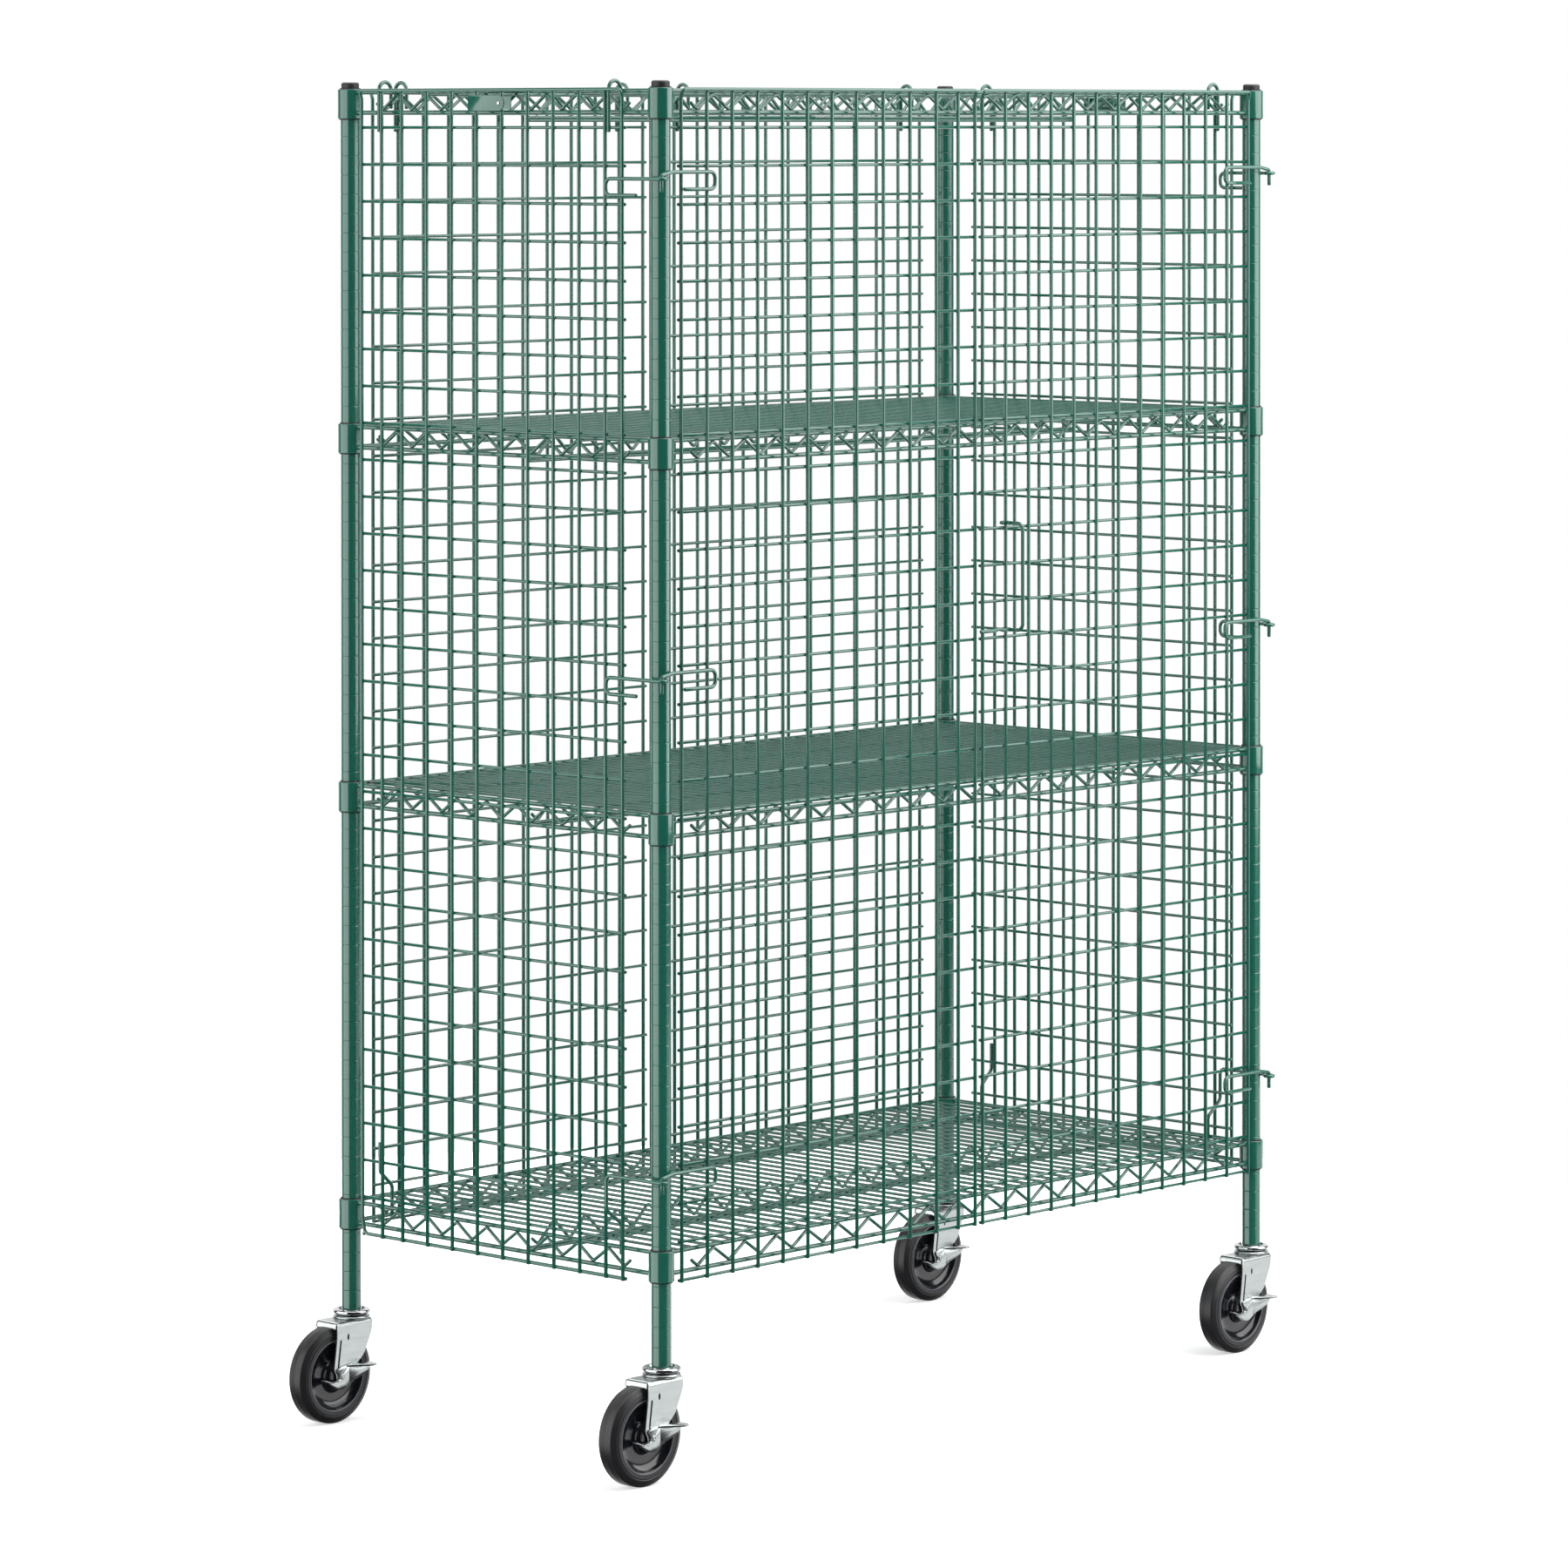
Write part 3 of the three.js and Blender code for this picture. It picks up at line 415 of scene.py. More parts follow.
cornerNames = ["front_left", "front_right", "rear_left", "rear_right"]
levelNames = ["bottom", "lower", "upper", "top"]
postAt = {corner: np.mean(nodeBox(f"post_{corner}"), axis=0)[:2] for corner in cornerNames}
shelfTop = {level: nodeBox(f"shelf_{level}")[1][2] for level in levelNames}
spanX, spanY = postAt["rear_right"] - postAt["front_left"]
cageX, cageY = (postAt["rear_right"] + postAt["front_left"]) / 2
topLevel, bottomLevel = shelfTop["top"], shelfTop["bottom"]
postFoot, postTop = (corner[2] for corner in nodeBox("post_front_left"))


def onCage(part, height):
    return moved(part, (cageX, cageY, height))


def facing(part, degrees, distance):
    # a panel that faces -Y, turned to its own side of the cage and set out from the middle
    angle = math.radians(degrees)
    outward = (distance * math.sin(angle), -distance * math.cos(angle), 0)
    return onCage(moved(spun(part, degrees), outward), topLevel)


# posts, caps and sleeves

postSizes = dict(radius=12.7, wall=1.4, grooveStep=25.4, grooveDepth=0.3, grooveHalf=0.75, grooveStart=5.8,
                 footChamfer=0.6, sides=56)
capSizes = dict(head=11.7, plug=11.0, headHeight=7.0, crown=1.6, crownRadius=9.5, plugDepth=14, edge=1.1)
sleeveSizes = dict(inner=12.95, wall=0.95, taper=0.8, rim=1.4, height=39, halfTurn=176)
collarSizes = dict(radius=16.5, wall=1.5, height=39, lip=1.1)


def makePost():
    sizes = postSizes
    radius, step = sizes["radius"], sizes["grooveStep"]
    first = bottomLevel + sizes["grooveStart"] - step * math.floor((bottomLevel - postFoot - step / 2) / step)
    heights = np.arange(first, postTop - step / 4, step)
    # one groove: radius falls by depth * (cosine hump) over its half width
    share = np.array([-2, -1, -0.6, -0.3, 0, 0.3, 0.6, 1, 2])
    dip = sizes["grooveDepth"] * (0.5 + 0.5 * np.cos(np.clip(share, -1, 1) * math.pi))
    grooves = beside(radius - dip, heights[:, None] + share * sizes["grooveHalf"]).reshape(-1, 2)
    chamfer, bore = sizes["footChamfer"], radius - sizes["wall"]
    profile = np.concatenate([
        [[bore, postFoot], [radius - chamfer, postFoot], [radius, postFoot + chamfer]],
        grooves,
        [[radius, postTop - chamfer], [radius - chamfer, postTop], [bore, postTop]],
    ])
    return turned(profile, sizes["sides"], closed=True)


def makeCap():
    sizes = capSizes
    seat = postTop + 0.2
    crown = seat + sizes["headHeight"] + sizes["crown"]
    outline = rounded([
        (0.4, seat - sizes["plugDepth"]), (sizes["plug"], seat - sizes["plugDepth"]),
        (sizes["plug"], seat), (sizes["head"], seat),
        (sizes["head"], seat + sizes["headHeight"]), (sizes["crownRadius"], crown), (0.4, crown),
    ], [0.8, 0.05, 0.6, sizes["edge"], 1.2], 4)
    return turned(outline)


def makeSleeve():
    sizes = sleeveSizes
    inner, wall, rim, foot = sizes["inner"], sizes["wall"], sizes["rim"], -sizes["height"] - sizes["rim"]
    # clockwise in (radius, height): up the bore, out over the rim, down the tapered outside
    outline = [(inner, foot), (inner, rim), (inner + wall * 0.8, rim), (inner + wall, rim * 0.7),
               (inner + wall + sizes["taper"], foot + 0.5), (inner + wall * 0.8 + sizes["taper"], foot)]
    half = sizes["halfTurn"]
    return joined(carriedRound(outline, -half / 2, half / 2, 18),
                  carriedRound(outline, 180 - half / 2, 180 + half / 2, 18))


def makeCollar():
    sizes = collarSizes
    bore, radius, foot, lip = sizes["radius"] - sizes["wall"], sizes["radius"], -sizes["height"], sizes["lip"]
    outside = rounded([(bore, foot), (radius, foot), (radius - 0.2, foot / 2), (radius, 0), (bore - 0.8, 0)],
                      [lip, 60, lip], 5)
    return turned(outside, closed=True)


postBody, capBody, sleeveBody = makePost(), makeCap(), makeSleeve()
for corner in cornerNames:
    x, y = postAt[corner]
    cover(f"post_{corner}", moved(postBody, (x, y, 0)))
    cover(f"post_cap_{corner}", moved(capBody, (x, y, 0)), "capBlack")
    for level in levelNames:
        cover(f"sleeve_{level}_{corner}", moved(sleeveBody, (x, y, shelfTop[level])), "sleeveBlack")
print("posts, caps and sleeves made")


# shelves

shelfSizes = dict(trussRadius=3.0, trussOffset=1.2, trussDrop=4.0, trussHeight=27.0, collarReach=15.6,
                  latticeRadius=2.25, latticeStart=64.0, latticePitch=59.0, latticeTail=11.5, tailRise=9.0,
                  latticeBend=5.5, weld=1.6, deckRadius=2.0, deckDrop=3.2, deckEdge=31.0, deckPitch=26.0,
                  supportRadius=2.5, supportSpacing=290.0, spineReach=542.0, spineTop=37.4, spineFoot=41.3,
                  spineRadius=2.1, seatWeld=(3.4, 4.3, 4.0))


def makeLattice(span, high, low):
    # the zigzag: turning points alternate between two heights, each with its own bend
    sizes = shelfSizes
    run = span - 2 * sizes["latticeStart"]
    bends = 2 * round(run / sizes["latticePitch"])
    across = np.linspace(-run / 2, run / 2, bends + 1)
    heights = np.where(np.arange(bends + 1) % 2, high, low)
    tail = low + sizes["tailRise"]
    x = np.concatenate([[-run / 2 - sizes["latticeTail"]], across, [run / 2 + sizes["latticeTail"]]])
    z = np.concatenate([[tail], heights, [tail]])
    path = rounded(beside(x, 0, z), sizes["latticeBend"], 4)
    return wire(path, sizes["latticeRadius"], 10)


def makeTruss(span):
    sizes = shelfSizes
    end = span / 2 - sizes["collarReach"]
    rod = wire([(-end, 0, 0), (end, 0, 0)], sizes["trussRadius"], 14, tip=0.1)
    heights = (-sizes["trussDrop"], -sizes["trussDrop"] - sizes["trussHeight"])
    seats = [(side * end, 0, height) for side in (-1, 1) for height in heights]
    reach = sizes["trussRadius"] + sizes["latticeRadius"] - sizes["weld"]
    return joined(repeated(rod, [(0, 0, height) for height in heights]),
                  repeated(weldSpot(*sizes["seatWeld"], 10), seats),
                  makeLattice(span, heights[0] - reach, heights[1] + reach))


def makeSpine():
    # the deeper truss under the middle of the deck: a zigzag on a long flat loop of wire
    sizes = shelfSizes
    end, radius = sizes["spineReach"], sizes["spineRadius"]
    top, foot = -sizes["spineTop"], -sizes["spineFoot"]
    loop = [(0, top), (end, top), (end, foot), (-end, foot), (-end, top), (-0.5, top)]
    path = rounded([(x, 0, z) for x, z in loop], (top - foot) / 2 - 0.1, 5)
    high = -sizes["deckDrop"] - sizes["deckRadius"] - sizes["latticeRadius"] + 0.5
    return joined(wire(path, radius, 12, reference=(0, 1, 0)), makeLattice(spanX, high, top + radius + 0.6))


def makeShelf():
    sizes = shelfSizes
    offset = sizes["trussOffset"]
    along, across = makeTruss(spanX), makeTruss(spanY)
    edges = [spun(moved(along, (0, -spanY / 2 - offset, 0)), turn) for turn in (0, 180)]
    edges += [spun(moved(across, (0, -spanX / 2 - offset, 0)), turn) for turn in (90, -90)]
    run = spanX - 2 * sizes["deckEdge"]
    cells = round(run / sizes["deckPitch"])
    reach = spanY / 2 + offset
    rod = wire([(0, -reach, 0), (0, reach, 0)], sizes["deckRadius"], 12, reference=(1, 0, 0), tip=0.3)
    deck = repeated(rod, [(x, 0, -sizes["deckDrop"]) for x in np.linspace(-run / 2, run / 2, cells + 1)])
    drop = sizes["deckDrop"] + sizes["deckRadius"] + sizes["supportRadius"] - 0.6
    end = spanX / 2 + offset
    bearer = wire([(-end, 0, 0), (end, 0, 0)], sizes["supportRadius"], 12, tip=0.3)
    bearers = repeated(bearer, [(0, side * sizes["supportSpacing"] / 2, -drop) for side in (-1, 1)])
    corners = [(sideX * spanX / 2, sideY * spanY / 2, 0) for sideX in (-1, 1) for sideY in (-1, 1)]
    collars = repeated(makeCollar(), corners)
    return joined(collars, *edges, deck, bearers, makeSpine())


shelfBody = makeShelf()
for level in levelNames:
    cover(f"shelf_{level}", onCage(shelfBody, shelfTop[level]))
print("shelves made, faces each:", len(shelfBody[2]))


# mesh panels: a panel faces -Y, with the top level at height 0

meshSizes = dict(uprightRadius=2.5, rowRadius=2.0, sink=0.8, rowCells=31, topDrop=2.0, bottomDrop=40.0,
                 rowOverhang=3.0, uprightOverhang=2.5, doorOffset=13.1, panelOffset=18.305,
                 doorEdge=23.5, doorMiddle=15.0, cornerBend=7.0, topBend=5.0, swing=11.0, borderRadius=2.4,
                 weld=(3.1, 1.7, 2.7), hingeRows=[2, 15, 28], hingeDrop=16.0)
meshTop = -meshSizes["topDrop"]
meshBottom = bottomLevel - topLevel - meshSizes["bottomDrop"]
rowHeights = np.linspace(meshTop, meshBottom, meshSizes["rowCells"] + 1)
hingeHeights = rowHeights[meshSizes["hingeRows"]] - meshSizes["hingeDrop"]


def uprightPlaces(start, width, shares):
    # running sum of the cells' shares of the width
    return start + width * np.concatenate([[0], np.cumsum(shares)]) / np.sum(shares)


def makeMesh(places, offset, bentCorner=False):
    # rows behind the uprights; the border wire runs up the first upright, in front of the others
    # along the top and down the last one; a spot of weld in every crossing
    sizes = meshSizes
    reach = sizes["uprightRadius"] + sizes["rowRadius"] - sizes["sink"]
    depth, front = offset - reach, offset + reach
    over = sizes["uprightOverhang"]
    upright = wire([(0, 0, meshTop + over), (0, 0, meshBottom - over)], sizes["uprightRadius"], 12,
                   reference=(1, 0, 0))
    left, right = min(places) - sizes["rowOverhang"], max(places) + sizes["rowOverhang"]
    row = wire([(left, 0, 0), (right, 0, 0)], sizes["rowRadius"], 12)
    spotDepth = sizes["uprightRadius"] - sizes["sink"] / 2
    spots = [(x, spotDepth - offset, z) for x in places for z in rowHeights[1:]]
    spots += [(x, -spotDepth - offset, meshTop) for x in places[1:-1]]
    first, last = places[0], places[-1]
    swing, bend = sizes["swing"], sizes["topBend"]
    border = [(first, -offset, meshBottom - over), (first, -offset, meshTop - swing),
              (first, -front, meshTop), (last, -front, meshTop), (last, -offset, meshTop - swing)]
    bends, rows = [8, bend, bend, 8], rowHeights[1:]
    if bentCorner:
        # the last upright turns into the lowest row at its foot
        inner = first - math.copysign(sizes["rowOverhang"], last - first)
        border += [(last, -offset, meshBottom + 24), (last, -depth, meshBottom), (inner, -depth, meshBottom)]
        bends, rows = bends + [30, sizes["cornerBend"]], rows[:-1]
    else:
        border.append((last, -offset, meshBottom - over))
    return joined(repeated(upright, [(x, -offset, 0) for x in places[1:-1]]),
                  repeated(row, [(0, -depth, z) for z in rows]),
                  repeated(weldSpot(*meshSizes["weld"]), spots),
                  wire(rounded(border, bends, 5), sizes["borderRadius"], 14, reference=(0, 1, 0.02)))


# hooks and hinge arms

hookSizes = dict(radius=2.5, outer=17.39, inner=-3.97, rise=11.5, tail=6.0, innerLeg=26.0, legTop=84.0,
                 bendTop=45.0,
                 bendBottom=25.0, tipDrop=15.0)
hingeSizes = dict(radius=2.5, pinX=17.014, pinY=18.004, eyeRadius=6.04, armLine=23.054, pinLength=15.0,
                  armHeight=21.0, armReturn=55.0, bend=8.0, doorRise=8.4, doorHeight=21.7, doorOverrun=10.0,
                  doorSlope=20.0, eyeTurn=305, pinFoot=2.2, pinTop=4.7)


def makeTopHook(x):
    sizes = hookSizes
    radius = (sizes["outer"] - sizes["inner"]) / 2
    crown = sizes["rise"] - sizes["radius"]
    path = rounded([(x, -sizes["outer"], rowHeights[1] - sizes["tail"]), (x, -sizes["outer"], crown),
                    (x, -sizes["inner"], crown), (x, -sizes["inner"], -sizes["innerLeg"])],
                   [radius - 0.01, radius - 0.01], 12)
    return wire(path, sizes["radius"], 14, reference=(1, 0, 0))


def footPath(x, outer, top):
    sizes = hookSizes
    floor = bottomLevel - topLevel
    return [(x, -outer, top), (x, -outer, floor + sizes["bendTop"]),
            (x, -sizes["inner"], floor + sizes["bendBottom"]), (x, -sizes["inner"], floor - sizes["tipDrop"])]


def makeFootHook(x):
    sizes = hookSizes
    path = rounded(footPath(x, sizes["outer"], bottomLevel - topLevel + sizes["legTop"]), 9, 6)
    return wire(path, sizes["radius"], 14, reference=(1, 0, 0))


def eyeLoop(pin, level, ahead):
    # a horizontal loop round the pin: (pin + r cos a, -pinX + r sin a), from its free end to the arm
    sizes = hingeSizes
    angle = np.radians(np.linspace(-90 + sizes["eyeTurn"], -90, 22))
    return beside(pin + ahead * sizes["eyeRadius"] * np.cos(angle),
                  -sizes["pinX"] + sizes["eyeRadius"] * np.sin(angle), level)


def makeSideArm(pin, end, level, ahead):
    sizes = hingeSizes
    line, foot = -sizes["armLine"], level - sizes["armHeight"]
    bends = rounded([(pin, line, level), (end, line, level), (end, line, foot),
                     (end + ahead * sizes["armReturn"], line, foot)], sizes["bend"], 6)
    path = np.concatenate([eyeLoop(pin, level, ahead), bends[1:]])
    return wire(path, sizes["radius"], 14, reference=(0, 1, 1))


def makeLowestArm(pin, end, level, ahead):
    sizes = hingeSizes
    line = -sizes["armLine"]
    foot = footPath(end, sizes["armLine"], level)
    bends = rounded([(pin, line, level), (end, line, level), *foot[1:]], [sizes["bend"], 12, 9], 6)
    path = np.concatenate([eyeLoop(pin, level, ahead), bends[1:]])
    return wire(path, sizes["radius"], 14, reference=(0, 1, 1))


def makeDoorArm(pin, first, second, level):
    sizes = hingeSizes
    inward = math.copysign(1, second - first)
    end = second + inward * sizes["doorOverrun"]
    line = -sizes["pinY"]
    top = level + sizes["doorRise"]
    foot = top - sizes["doorHeight"]
    path = rounded([(pin, line, level - sizes["pinFoot"] - sizes["pinLength"]),
                    (pin, line, level + sizes["pinTop"]),
                    (pin + inward * sizes["doorSlope"], line, top), (end, line, top), (end, line, foot),
                    (first, line, foot)], [3.5, 12, sizes["bend"], sizes["bend"]], 6)
    return wire(path, sizes["radius"], 14, reference=(0, 1, 0))


# side panels

sideSizes = dict(frontGap=50.0, rearGap=41.5, frontCell=30.2, rearCell=38.2, wideCells=8, hookBeside=5.65)


def makeSidePanel(ahead):
    # ahead is +1 where local +X runs toward the doors; every x is multiplied by it
    sizes = sideSizes
    front = spanY / 2 - sizes["frontGap"]
    width = spanY - sizes["frontGap"] - sizes["rearGap"]
    even = (width - 2 * sizes["rearCell"] - sizes["frontCell"]) / sizes["wideCells"]
    cells = [sizes["frontCell"]] + [even] * sizes["wideCells"] + [sizes["rearCell"]] * 2
    places = uprightPlaces(front, -width, cells)
    frontHook, rearHook = places[1] + sizes["hookBeside"], places[-2] - sizes["hookBeside"]
    pin = ahead * (spanY / 2 + hingeSizes["pinY"])
    armEnd = ahead * frontHook
    arms = [makeSideArm(pin, armEnd, level, ahead) for level in hingeHeights[:-1]]
    return joined(makeMesh(ahead * places, meshSizes["panelOffset"], bentCorner=True),
                  makeTopHook(ahead * rearHook), makeTopHook(ahead * frontHook),
                  makeFootHook(ahead * rearHook),
                  *arms, makeLowestArm(pin, armEnd, hingeHeights[-1], ahead))


for side, turn, ahead in (("left", -90, 1), ("right", 90, -1)):
    cover(f"side_panel_{side}", facing(makeSidePanel(ahead), turn, spanX / 2))
print("side panels made")


# back panels

backSizes = dict(leftGap=57.5, rightGap=35.7, seamGap=16.0, seamOffset=12.5, hookBeside=5.65)


def makeBackPanel(outer, width, cells):
    places = uprightPlaces(outer, width, np.ones(cells))
    inward = math.copysign(1, width)
    shift = inward * backSizes["hookBeside"]
    hooks = [makeTopHook(places[row] - shift) for row in (1, -2)]
    return joined(makeMesh(places, meshSizes["panelOffset"]), *hooks)


backRightOuter, backLeftOuter = spanX / 2 - backSizes["rightGap"], spanX / 2 - backSizes["leftGap"]
seam = backSizes["seamOffset"]
backRight = makeBackPanel(-backRightOuter, backRightOuter + seam - backSizes["seamGap"] / 2, 12)
backLeft = makeBackPanel(backLeftOuter, -(backLeftOuter - seam - backSizes["seamGap"] / 2), 11)
for side, body in (("left", backLeft), ("right", backRight)):
    cover(f"back_panel_{side}", facing(body, 180, spanY / 2))
print("back panels made")


# doors

doorCells = {"left": [1] * 7 + [1.11] * 3 + [0.92, 0.72], "right": [1] * 12}


def doorPlaces(side):
    outer = spanX / 2 - meshSizes["doorEdge"]
    sign = -1 if side == "left" else 1
    return sign * uprightPlaces(outer, meshSizes["doorMiddle"] / 2 - outer, doorCells[side])


def makeDoor(side):
    places = doorPlaces(side)
    pin = math.copysign(spanX / 2 + hingeSizes["pinX"], places[0])
    arms = [makeDoorArm(pin, places[0], places[1], level) for level in hingeHeights]
    return joined(makeMesh(places, meshSizes["doorOffset"]), *arms)


for side in ("left", "right"):
    cover(f"door_{side}", facing(makeDoor(side), 0, spanY / 2), body=f"door_leaf_{side}")
print("doors made")


# latch handle

latchSizes = dict(radius=2.5, row=12, rise=6.6, height=142.0, reach=30.0, tipGap=3.6, bend=9.0,
                  eyeRadius=6.04,
                  eyeTurn=290, joggle=4.0, joggleStart=12.0, weld=(3.3, 3.0, 3.0), lift=0.15)


def makeLatch():
    # grip bow in the plane of its upright, an eye at each end, and a tongue toward the other door
    sizes = latchSizes
    eye, foot = sizes["eyeRadius"], -sizes["height"]
    angle = np.radians(np.linspace(-90 + sizes["eyeTurn"], -90, 20))
    loop = beside(eye * np.cos(angle), eye * np.sin(angle), 0)
    bow = rounded([(0, -eye, 0), (0, -sizes["reach"], 0), (0, -sizes["reach"], foot), (0, -eye, foot)],
                  sizes["bend"], 7)
    tongue = doorPlaces("right")[-2] + meshSizes["doorMiddle"] / 2 - sizes["tipGap"]
    step, start = sizes["joggle"], sizes["joggleStart"]
    bar = rounded([(2, -eye, foot), (-start, -eye, foot), (-start - 8, -eye + 0.4, foot + step * 0.4),
                   (-start - 17, -eye, foot), (-tongue, -eye, foot)], [6, 6, 6], 5)
    loopBelow = moved(wire(loop, sizes["radius"], 14, reference=(0, 0, 1)), (0, 0, foot))
    return joined(wire(loop, sizes["radius"], 14, reference=(0, 0, 1)), loopBelow,
                  wire(bow, sizes["radius"], 16, reference=(1, 0, 0)),
                  wire(bar, sizes["radius"], 16, reference=(0, 1, 0)),
                  repeated(weldSpot(*latchSizes["weld"], 12), [(0, -eye, 0), (0, -eye, foot)]))


latchX = cageX + doorPlaces("right")[-2]
latchZ = topLevel + rowHeights[latchSizes["row"]] + latchSizes["rise"]
latchY = cageY - spanY / 2 - meshSizes["doorOffset"] - latchSizes["lift"]
cover("latch_handle", moved(makeLatch(), (latchX, latchY, latchZ)), body="latch")
print("latch made")


# tag plates: bare plates with one round end

tagSizes = dict(length=66.0, height=20.0, thickness=1.2, tongue=12.5, tongueHeight=17.0, rivet=3.25,
                rivetHeight=1.4, corner=1.2, offset=6.4, drop=19.0, stand=21.6)


def makeTagPlate(ahead):
    sizes = tagSizes
    half, length = sizes["height"] / 2, sizes["length"]
    corner = sizes["corner"]
    angle = np.radians(np.linspace(-90, 90, 17))
    straight = length / 2 - half
    roundEnd = beside(straight + half * np.cos(angle), half * np.sin(angle))
    back = rounded([roundEnd[-1], (-length / 2, half), (-length / 2, -half), roundEnd[0]], corner, 4)
    outline = np.concatenate([roundEnd, back[1:-1]])
    reach, tall = half + sizes["tongue"], sizes["tongueHeight"] / 2
    end = straight + reach
    tongue = rounded([(straight, -tall), (end, -tall), (end, tall), (straight, tall)], corner, 4)
    plate = moved(plateFrom(outline * (ahead, 1), sizes["thickness"]), (0, -sizes["thickness"] / 2, 0))
    back = moved(plateFrom(tongue * (ahead, 1), sizes["thickness"]), (0, sizes["thickness"] / 2 - 0.3, 0))
    return joined(plate, back), ahead * straight


def makeRivet():
    sizes = tagSizes
    radius, height = sizes["rivet"], sizes["rivetHeight"]
    lift = np.radians(np.linspace(0, 82, 7))
    dome = beside(radius * np.cos(lift), height * np.sin(lift))
    return laidOnY(turned(np.concatenate([[[radius * 0.9, -0.4]], dome]), 24))


for side, turn, ahead in (("left", -90, 1), ("right", 90, -1)):
    plate, rivetAt = makeTagPlate(ahead)
    seat = (-tagSizes["offset"] * ahead, -tagSizes["stand"], -tagSizes["drop"])
    rivet = moved(makeRivet(), (rivetAt + seat[0], seat[1] - tagSizes["thickness"], seat[2]))
    cover(f"tag_plate_{side}", facing(moved(plate, seat), turn, spanX / 2))
    cover(f"tag_plate_{side}", facing(rivet, turn, spanX / 2), "brightZinc",
          name=f"tag_rivet_{side}")
print("tag plates made")


# casters: worked out with the swivel axis at the origin and the floor at 0

casterSizes = dict(trail=39.0, axle=63.5, forkHalf=21.75, plateTop=134.0, sheet=3.0, fold=4.5)
wheelSizes = dict(radius=63.5, half=15.0, rim=46.0, seam=0.15, hub=16.2, hubHalf=18.2, bore=6.5, web=6.0)
forkSizes = dict(rearTop=-44.0, lipDrop=7.5, lipFold=3.6,
                 rear=[(134, -43.4), (120, -44.6), (90, -48.6), (76, -50.6), (71, -50.4), (67.5, -48.0),
                       (62, -46.6), (56.5, -45.4), (53, -43.6), (50.6, -41.0)],
                 front=[(134, 17), (121, 16.6), (112, 13.6), (104, 9.6), (90, 3.2), (82, -4.2), (72, -14),
                        (62, -23.5), (56, -29.5), (52.3, -34.5), (50.6, -39.0)],
                 slot=[(-39.2, 109.4), (-43.6, 76.4)], slotHalf=1.4, hole=(-25.8, 113.5), holeHalf=(1.7, 4.2))
swivelSizes = dict(race=24.6, raceTop=138.6, ringFoot=139.6, ringLip=145.4, seat=144.5, ring=24.8, pin=6.0,
                   pinHead=9.5, headFoot=126.7, plug=10.99, plugTop=189.0)
leverSizes = dict(sheet=2.5, line=23.3, bladeHeight=12.8, armTurn=-7.0, armFrom=12.0,
                  boss=[(-8.6, 8), (-4, 12), (3, 13.8), (12, 14), (19, 13.8), (19.5, -7.2), (15, -9.8),
                        (10.5, -12.8), (3.6, -16.6), (-4.5, -16.9), (-12.6, -14.9), (-21, -9.4),
                        (-27.5, -4.6),
                        (-29.5, -2.8), (-20.5, -5.2), (-9, -4.2), (-4.8, -2.4), (-4.6, 1.2), (-7.4, 4.6)],
                  arm=[(10, 14), (26, 13.9), (40, 12.6), (45.3, 10.2), (45.5, 6.2), (41, 1.6), (30, -3.8),
                       (19, -7.6), (10, -9.5), (8, 2)],
                  blade=[(6, -1), (13, 4), (24, 12.5), (33, 18.6), (40, 21), (45, 19), (47, 12), (46.5, 4),
                         (45.5, -1)],
                  tongue=[(-8, -4.6), (-14, -5.2), (-20.5, -5.6), (-26.5, -3.6), (-31, -1.6), (-35.4, -0.3)],
                  tongueInner=22.2, tongueOuter=29.0)
boltSizes = dict(shank=4.2, washer=4.5, washerHeight=0.3, rivet=3.3, hollow=1.6, height=1.7, sink=0.8)


def makeTread():
    # solid tyre: flat tread with wide eased shoulders, a moulding seam round its middle
    sizes = wheelSizes
    radius, half, rim, seam = sizes["radius"], sizes["half"], sizes["rim"], sizes["seam"]
    run = radius - seam
    side = [(rim, -half + 1.2), (rim + 1.2, -half + 0.3), (rim + 6.4, -half), (rim + 7.2, -half + 0.9),
            (rim + 8.3, -half + 0.2), (rim + 10.2, -half + 0.7), (run, -half + 4.6)]
    crown = [(run, -0.6), (radius, 0), (run, 0.6)]
    shoulder = rounded(side + [(run, -0.7)], [0.4, 0.4, 0.4, 0.5, 1.2, 3.0], 6)[:-1]
    profile = np.concatenate([shoulder, crown, shoulder[::-1] * (1, -1)])
    return laidOnY(turned(profile, 96, closed=True))


def makeCore():
    # dished wheel core: hub, web and bowl, the same on both faces
    sizes = wheelSizes
    half, rim, hub, reach, web = sizes["half"], sizes["rim"], sizes["hub"], sizes["hubHalf"], sizes["web"]
    bowl = throughPoints([(hub + 2.2, -web - 3.6), (hub + 4.6, -web - 0.9), (hub + 10, -web),
                          (hub + 17, -web),
                          (hub + 23, -web - 1.4), (rim - 3.2, -half + 5.6), (rim - 1.4, -half + 2.4)], 5)
    hubEnd = rounded([(sizes["bore"], -reach), (hub, -reach), (hub + 0.9, -half + 2), bowl[0]], [1.2, 3], 4)
    lip = [(rim - 1.0, -half + 1.1), (rim - 0.3, -half + 0.75), (rim + 0.3, -half + 1.0)]
    face = np.concatenate([hubEnd[:-1], bowl, lip])
    return laidOnY(turned(np.concatenate([face, face[::-1] * (1, -1)]), 96, closed=True))


def makeCoreRim():
    # a bead in each face along the core's edge, coloured lighter grey as a painted highlight on the rim
    angle = np.linspace(0, 2 * math.pi, 8, endpoint=False)
    bead = beside(wheelSizes["rim"] + 0.55 + 0.75 * np.cos(angle), 0.75 * np.sin(angle))
    place = wheelSizes["half"] - 0.85
    return laidOnY(joined(*[turned(bead + (0, side * place), 96, closed=True) for side in (1, -1)]))


